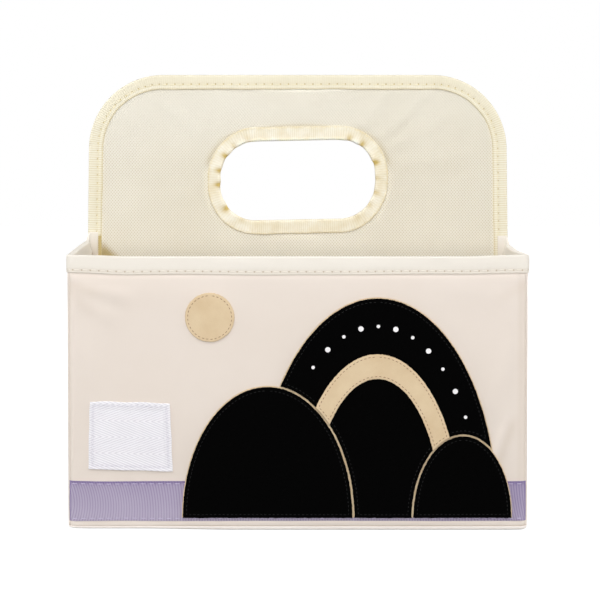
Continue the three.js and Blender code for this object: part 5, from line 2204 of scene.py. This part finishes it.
@dataclass(frozen=True)
class FeltPatch:
    """A flat felt: the shapes it joins, less the shapes cut out, with a soft rounded edge."""

    shapes: tuple[Hill | Disc, ...]
    cuts: tuple[Hill | Disc, ...] = ()
    edge_step: float = 0.9
    inner_step: float = 3.2
    edge_radius: float = 0.45
    fray: float = 0.09

    def holds(self, points: Array) -> Array:
        """Returns which of the points are on the felt."""
        inside = np.any([shape.holds(points) for shape in self.shapes], axis=0)
        for cut in self.cuts:
            inside &= ~cut.holds(points)
        return inside

    def triangles(self, points: Array, edges: list[tuple[int, int]]) -> tuple[Array, Array]:
        """Fills the felt with triangles.

        Args:
            points: Points of its edges and inside.
            edges: Pairs of points that triangles have to keep.

        Returns:
            The points that were used, and the triangles over them.
        """
        made = delaunay_2d_cdt([Vector(p) for p in points.tolist()], edges, [], 0, 1e-5)
        used = np.array([tuple(v) for v in made[0]])
        faces = np.array(made[2], int)
        return used, faces[self.holds(used[faces].mean(axis=1))]

    def edge_loop(self) -> Array:
        """Returns the felt's whole edge as one closed line, anticlockwise."""
        points, edges = [], []
        for shape in (*self.shapes, *self.cuts):
            line = shape.outline(self.edge_step)
            start = sum(len(p) for p in points)
            edges += [(start + k, start + (k + 1) % len(line)) for k in range(len(line))]
            points.append(line)
        used, faces = self.triangles(np.concatenate(points), edges)
        sides = np.concatenate([faces[:, [0, 1]], faces[:, [1, 2]], faces[:, [2, 0]]])
        known = {tuple(side) for side in sides.tolist()}
        follows = {a: b for a, b in known if (b, a) not in known}
        loop = [max(follows, key=lambda k: used[k][1])]
        while follows[loop[-1]] != loop[0]:
            loop.append(follows[loop[-1]])
        return self.resampled(used[loop])

    def resampled(self, loop: Array) -> Array:
        """Returns a closed line without the points that lie too close to the one before."""
        kept = [loop[0]]
        for point in loop[1:]:
            if np.linalg.norm(point - kept[-1]) > 0.45 * self.edge_step:
                kept.append(point)
        if np.linalg.norm(kept[-1] - kept[0]) < 0.45 * self.edge_step:
            kept.pop()
        return np.array(kept)

    @staticmethod
    def inset(loop: Array, distance: float) -> Array:
        """Returns an anticlockwise closed line moved inwards."""
        ahead = np.roll(loop, -1, axis=0) - np.roll(loop, 1, axis=0)
        ahead /= np.linalg.norm(ahead, axis=1, keepdims=True)
        return loop + np.column_stack([-ahead[:, 1], ahead[:, 0]]) * distance

    def build(self, name: str, near: float, thickness: float, lift: Callable[[Array, Array], Array],
              stitch_inset: float = 0.0) -> tuple[Piece, list[tuple[Array, Array]]]:
        """Cuts the felt and lays it on the front wall.

        Args:
            name: The piece's name.
            near: How far its face is from the middle plane.
            thickness: The felt's thickness.
            lift: How far the wall stands out at places across and up it.
            stitch_inset: How far inside the edge it is sewn, or 0.

        Returns:
            The object, and the line of stitches with its normals where it is sewn.
        """
        loop = self.edge_loop()
        draws = np.random.default_rng(len(loop))
        loop = loop + draws.normal(0.0, self.fray, loop.shape)
        depths = self.edge_radius * (1.0 - np.cos(np.linspace(0.0, math.pi / 2, 4)))
        drops = self.edge_radius * (1.0 - np.sin(np.linspace(0.0, math.pi / 2, 4)))
        rings = [self.inset(loop, depth) for depth in depths] + [self.inset(loop, 1.1)]
        low, high = loop.min(axis=0), loop.max(axis=0)
        grid = np.stack(np.meshgrid(np.arange(low[0], high[0], self.inner_step),
                                    np.arange(low[1], high[1], self.inner_step), indexing="ij"),
                                    -1).reshape(-1, 2)
        grid = grid + draws.uniform(-0.3, 0.3, grid.shape) * self.inner_step
        beside = np.array([np.min(np.linalg.norm(loop - point, axis=1)) for point in grid])
        grid = grid[self.holds(grid) & (beside > 2.0)]
        count = len(loop)
        fixed = [(k, (k + 1) % count) for k in range(count)]
        points = np.concatenate([*rings, grid])
        made = delaunay_2d_cdt([Vector(p) for p in points.tolist()], fixed, [], 1, 1e-7)
        used, faces = np.array([tuple(v) for v in made[0]]), np.array(made[2], int)
        origin = [sources[0] if sources else -1 for sources in made[3]]
        ring_of = np.array([number // count if 0 <= number < 5 * count else 9 for number in origin])
        drop = np.append(drops, [0.0] * 6)[np.clip(ring_of, 0, 9)]
        lifted = lift(used[:, 0], used[:, 1])
        rough = SoftNoise(5.0, 171).at(used[:, 0], used[:, 1]) * 0.07
        face_y = -(near + lifted - drop + rough * (ring_of == 9))
        back_y = -(near - thickness + lifted)
        front = np.column_stack([used[:, 0], face_y, used[:, 1]])
        back = np.column_stack([used[:, 0], back_y, used[:, 1]])
        total = len(used)
        polygons = Polygons()
        polygons.add(faces, used[faces])
        polygons.add(faces[:, ::-1] + total, used[faces[:, ::-1]])
        sides = np.concatenate([faces[:, [0, 1]], faces[:, [1, 2]], faces[:, [2, 0]]])
        known = {tuple(side) for side in sides.tolist()}
        rim = np.array([(a, b) for a, b in sorted(known) if (b, a) not in known])
        walls = np.column_stack([rim[:, 1], rim[:, 0], rim[:, 0] + total, rim[:, 1] + total])
        polygons.add(walls, np.concatenate([used, used])[walls])
        # The rounded edge's outer rings are drawn towards the deep colour: painted edge shade on the tan
        # felt, and a slightly lighter rim on the black felt, whose deep colour is lighter.
        crease = np.concatenate([0.6 * (ring_of <= 1), 0.6 * (ring_of <= 1)])
        piece = cloth_object(name, np.concatenate([front, back]), polygons, crease)
        if not stitch_inset:
            return piece, []
        return piece, [self.stitch_line(loop, stitch_inset, near, lift)]

    def stitch_line(self, loop: Array, inset: float, near: float,
                    lift: Callable[[Array, Array], Array]) -> tuple[Array, Array]:
        """Returns the line of stitches inside a felt's edge, with its normals."""
        smooth = loop
        for _ in range(3):
            smooth = (np.roll(smooth, 1, axis=0) + 2 * smooth + np.roll(smooth, -1, axis=0)) / 4
        moved = self.inset(smooth, inset)
        clear = np.array([np.min(np.linalg.norm(smooth - point, axis=1)) for point in moved]) > 0.93 * inset
        line = moved[clear & self.holds(moved)]
        line = np.concatenate([line, line[:1]])
        y = -(near + lift(line[:, 0], line[:, 1]))
        return np.column_stack([line[:, 0], y, line[:, 1]]), np.tile([0.0, -1.0, 0.0], (len(line), 1))


@dataclass
class FeltLandscape:
    """Three black hills on a pale backing, with a tan arch, a tan moon and a row of printed dots."""

    relief: WallRelief = FRONT_RELIEF
    sizes: CaddySizes = SIZES
    stitch: StitchRow = StitchRow(pitch=3.0, length=2.3, radius=0.2, rise=0.12)

    def field(self) -> tuple[float, float, float]:
        """Returns where the felt's field starts and ends across the wall, and its foot."""
        size = self.sizes
        foot = size.ribbon_height + size.felt_ribbon_inset
        left = size.label_side_inset - size.base_width / 2 + size.label_width + size.felt_label_gap
        right = float(size.half_width(size.front, foot)) - size.wall_corner_radius - size.felt_seam_inset
        return left, right, foot

    def hill(self, centre_share: float, half_width_share: float, height_share: float) -> Hill:
        """Returns the hill at these shares of the field and of the wall's height."""
        left, right, foot = self.field()
        return Hill(left + (right - left) * centre_share, (right - left) * half_width_share,
                    self.sizes.rim_height * height_share, foot)

    def build(self) -> None:
        """Makes and seats the felts, their stitches and the dots."""
        size = self.sizes
        tall, low, small = (self.hill(0.59, 0.366, 0.8), self.hill(0.258, 0.258, 0.48),
                            self.hill(0.851, 0.149, 0.3))
        outer_arch, inner_arch = self.hill(0.59, 0.253, 0.6), self.hill(0.59, 0.194, 0.51)
        cuts = (low.grown(size.felt_seam), small.grown(size.felt_seam))
        backing_near = size.front + 2 * size.ply_gap + size.ribbon + size.felt_backing
        hill_near = backing_near + size.ply_gap + size.hill_felt
        arch_near = hill_near + size.ply_gap + size.top_felt
        moon_near = size.front + size.ply_gap + size.top_felt
        backing = FeltPatch(tuple(hill.grown(size.backing_margin) for hill in (tall, low, small)), fray=0.04)
        self.lay("felt_backing", backing, backing_near, size.felt_backing, TAN_FELT)
        self.lay("felt_tall_hill", FeltPatch((tall,), cuts), hill_near, size.hill_felt, BLACK_FELT, 2.6)
        self.lay("felt_low_hill", FeltPatch((low,)), hill_near, size.hill_felt, BLACK_FELT, 2.6)
        self.lay("felt_small_hill", FeltPatch((small,)), hill_near, size.hill_felt, BLACK_FELT, 2.6)
        self.lay("felt_arch", FeltPatch((outer_arch,), (inner_arch, *cuts)), arch_near, size.top_felt,
                 TAN_FELT, 1.9)
        left, right, _ = self.field()
        moon = Disc((left + (right - left) * 0.085, size.rim_height * 0.78), size.moon_radius)
        self.lay("felt_moon", FeltPatch((moon,)), moon_near, size.top_felt, TAN_FELT, 1.9)
        self.print_dots(tall, hill_near)

    def lay(self, name: str, patch: FeltPatch, near: float, thickness: float, finish: ClothFinish,
            sewn: float = 0.0) -> None:
        """Makes and seats one felt, and its stitches where it is sewn."""
        piece, lines = patch.build(f"{name}_cloth", near, thickness, self.relief.at, sewn)
        seat(piece, finish, [name])
        if lines:
            thread = BLACK_THREAD if finish is BLACK_FELT else RUSSET_THREAD
            seat(self.stitch.build(f"{name}_stitches", lines), thread)

    def print_dots(self, hill: Hill, near: float) -> None:
        """Prints a row of white dots over the tall hill's arch."""
        points, faces, start = [], Polygons(), 0
        for number, angle in enumerate(np.radians(np.linspace(32.0, 128.0, 11))):
            middle = (hill.centre + 0.86 * hill.half_width * math.cos(angle),
                      hill.foot + 0.875 * hill.height * math.sin(angle))
            disc = Disc(middle, 1.9 if number % 2 else 1.25).outline(0.4)
            count = len(disc)
            lifted = self.relief.at(disc[:, 0], disc[:, 1])
            for depth in (0.14, -0.2):
                points.append(np.column_stack([disc[:, 0], -(near + depth + lifted), disc[:, 1]]))
            k = np.arange(count)
            after = (k + 1) % count
            side = np.column_stack([k, after, after + count, k + count]) + start
            faces.add(side, np.zeros((count, 4, 2)))
            for shift, order in ((0, -1), (count, 1)):
                fan = (k[::order] + shift + start)[None, :]
                faces.add(fan, np.zeros((1, count, 2)))
            start += 2 * count
        piece = cloth_object("printed_dots", np.concatenate(points), faces, np.zeros(start), sharp=40.0)
        seat(piece, PRINT_WHITE)


# Studio


@dataclass(frozen=True)
class Studio:
    """A pale floor and backdrop, soft lamps, and a camera where the photographer's stood."""

    camera_place: tuple[float, float, float] = (0.0017, -1.15, 0.2754)
    camera_pitch: float = 5.86
    lens: float = 90.0
    sky: float = 0.15
    floor_size: float = 8.0

    def build(self) -> None:
        """Sets up the world, the floor, the lamps and the camera."""
        self.light_world()
        self.lay_floor()
        self.hang_lamp("key_lamp", (-0.16, -0.75, 1.05), 0.9, 6.6)
        self.hang_lamp("fill_lamp", (1.1, -1.6, 0.9), 1.6, 2.8)
        self.hang_lamp("front_lamp", (0.0, -1.9, 0.42), 0.7, 13.5)
        self.hang_lamp("left_lamp", (-1.6, -0.25, 0.7), 1.2, 12.0)
        self.hang_lamp("right_lamp", (1.6, -0.25, 0.7), 1.2, 13.0)
        self.hang_lamp("back_lamp", (0.5, 1.9, 0.6), 1.0, 26.0)
        self.place_camera()
        bpy.context.scene.view_settings.view_transform = "Standard"

    def light_world(self) -> None:
        """Lights the object from all round, and shows white to the camera."""
        world = bpy.data.worlds.new("studio")
        bpy.context.scene.world = world
        world.use_nodes = True
        world.node_tree.nodes.clear()
        wiring = Wiring(world.node_tree)
        output = wiring.node("ShaderNodeOutputWorld")
        path = wiring.node("ShaderNodeLightPath").outputs
        seen = wiring.math("MAXIMUM", path["Is Camera Ray"],
                           wiring.math("MAXIMUM", path["Is Glossy Ray"], path["Is Transmission Ray"]))
        strength = wiring.math("MULTIPLY_ADD", seen, 1.0 - self.sky, self.sky)
        white = wiring.node("ShaderNodeBackground", {"Color": (1.0, 1.0, 1.0, 1.0), "Strength": strength})
        wiring.feed(output.inputs["Surface"], white.outputs["Background"])

    def lay_floor(self) -> None:
        """Lays a pale floor that is white where no shadow falls on it."""
        half = self.floor_size / 2
        mesh = bpy.data.meshes.new("studio_floor")
        mesh.from_pydata([(-half, -half, 0), (half, -half, 0), (half, half, 0), (-half, half, 0)], [],
                         [(0, 1, 2, 3)])
        floor = bpy.data.objects.new("studio_floor", mesh)
        bpy.context.scene.collection.objects.link(floor)
        material = bpy.data.materials.new("pale floor")
        material.use_nodes = True
        material.node_tree.nodes.clear()
        wiring = Wiring(material.node_tree)
        output = wiring.node("ShaderNodeOutputMaterial")
        path = wiring.node("ShaderNodeLightPath").outputs
        seen = wiring.math("MAXIMUM", path["Is Camera Ray"],
                           wiring.math("MAXIMUM", path["Is Glossy Ray"], path["Is Transmission Ray"]))
        plain = wiring.node("ShaderNodeBsdfDiffuse", {"Color": (0.35, 0.35, 0.35, 1.0)})
        dim = wiring.node("ShaderNodeBsdfDiffuse", {"Color": (0.3, 0.3, 0.3, 1.0)})
        glow = wiring.node("ShaderNodeEmission", {"Color": (1.0, 1.0, 1.0, 1.0), "Strength": 0.97})
        shown = wiring.node("ShaderNodeAddShader", {0: dim.outputs[0], 1: glow.outputs[0]})
        mixed = wiring.node("ShaderNodeMixShader", {0: seen, 1: plain.outputs[0], 2: shown.outputs[0]})
        wiring.feed(output.inputs["Surface"], mixed.outputs[0])
        mesh.materials.append(material)

    def hang_lamp(self, name: str, place: tuple[float, float, float], size: float, power: float) -> None:
        """Hangs a square soft lamp that faces the caddy.

        Args:
            name: Its name.
            place: Where it hangs, in metres.
            size: Its side in metres.
            power: Its power in watts.
        """
        lamp = bpy.data.lights.new(name, "AREA")
        lamp.size, lamp.energy = size, power
        holder = bpy.data.objects.new(name, lamp)
        holder.location = place
        holder.rotation_euler = (Vector((0.0, 0.0, 0.15)) - Vector(place)).to_track_quat("-Z", "Y").to_euler()
        bpy.context.scene.collection.objects.link(holder)

    def place_camera(self) -> None:
        """Places the camera at the photograph's viewing angle."""
        camera = bpy.data.cameras.new("camera")
        camera.lens, camera.sensor_width = self.lens, 36.0
        camera.clip_start, camera.clip_end = 0.05, 50.0
        holder = bpy.data.objects.new("camera", camera)
        holder.location = self.camera_place
        holder.rotation_euler = (math.radians(90.0 - self.camera_pitch), 0.0, 0.0)
        bpy.context.scene.collection.objects.link(holder)
        bpy.context.scene.camera = holder


def dress_boards(nodes: dict[str, Piece]) -> None:
    """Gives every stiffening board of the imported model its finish."""
    for name, node in nodes.items():
        if name.endswith("_board"):
            node.data.materials.clear()
            node.data.materials.append(PRESSED_BOARD.material)
            LOG.info("%s: kept, %s", name, PRESSED_BOARD.name)


def main() -> None:
    """Builds the caddy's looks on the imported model."""
    logging.basicConfig(level=logging.INFO, format="%(name)s %(message)s")
    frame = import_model()
    Studio().build()
    dress_boards(frame["nodes"])
    FloorTray().build()
    BinWalls(Bin.FRONT, FRONT_RELIEF).build()
    BinWalls(Bin.REAR, REAR_RELIEF).build()
    Divider().build()
    FrontRibbon().build()
    WovenLabel().build()
    FeltLandscape().build()
    for side in Bin:
        FloorInsert(side).build()


if __name__ == "__main__":
    main()
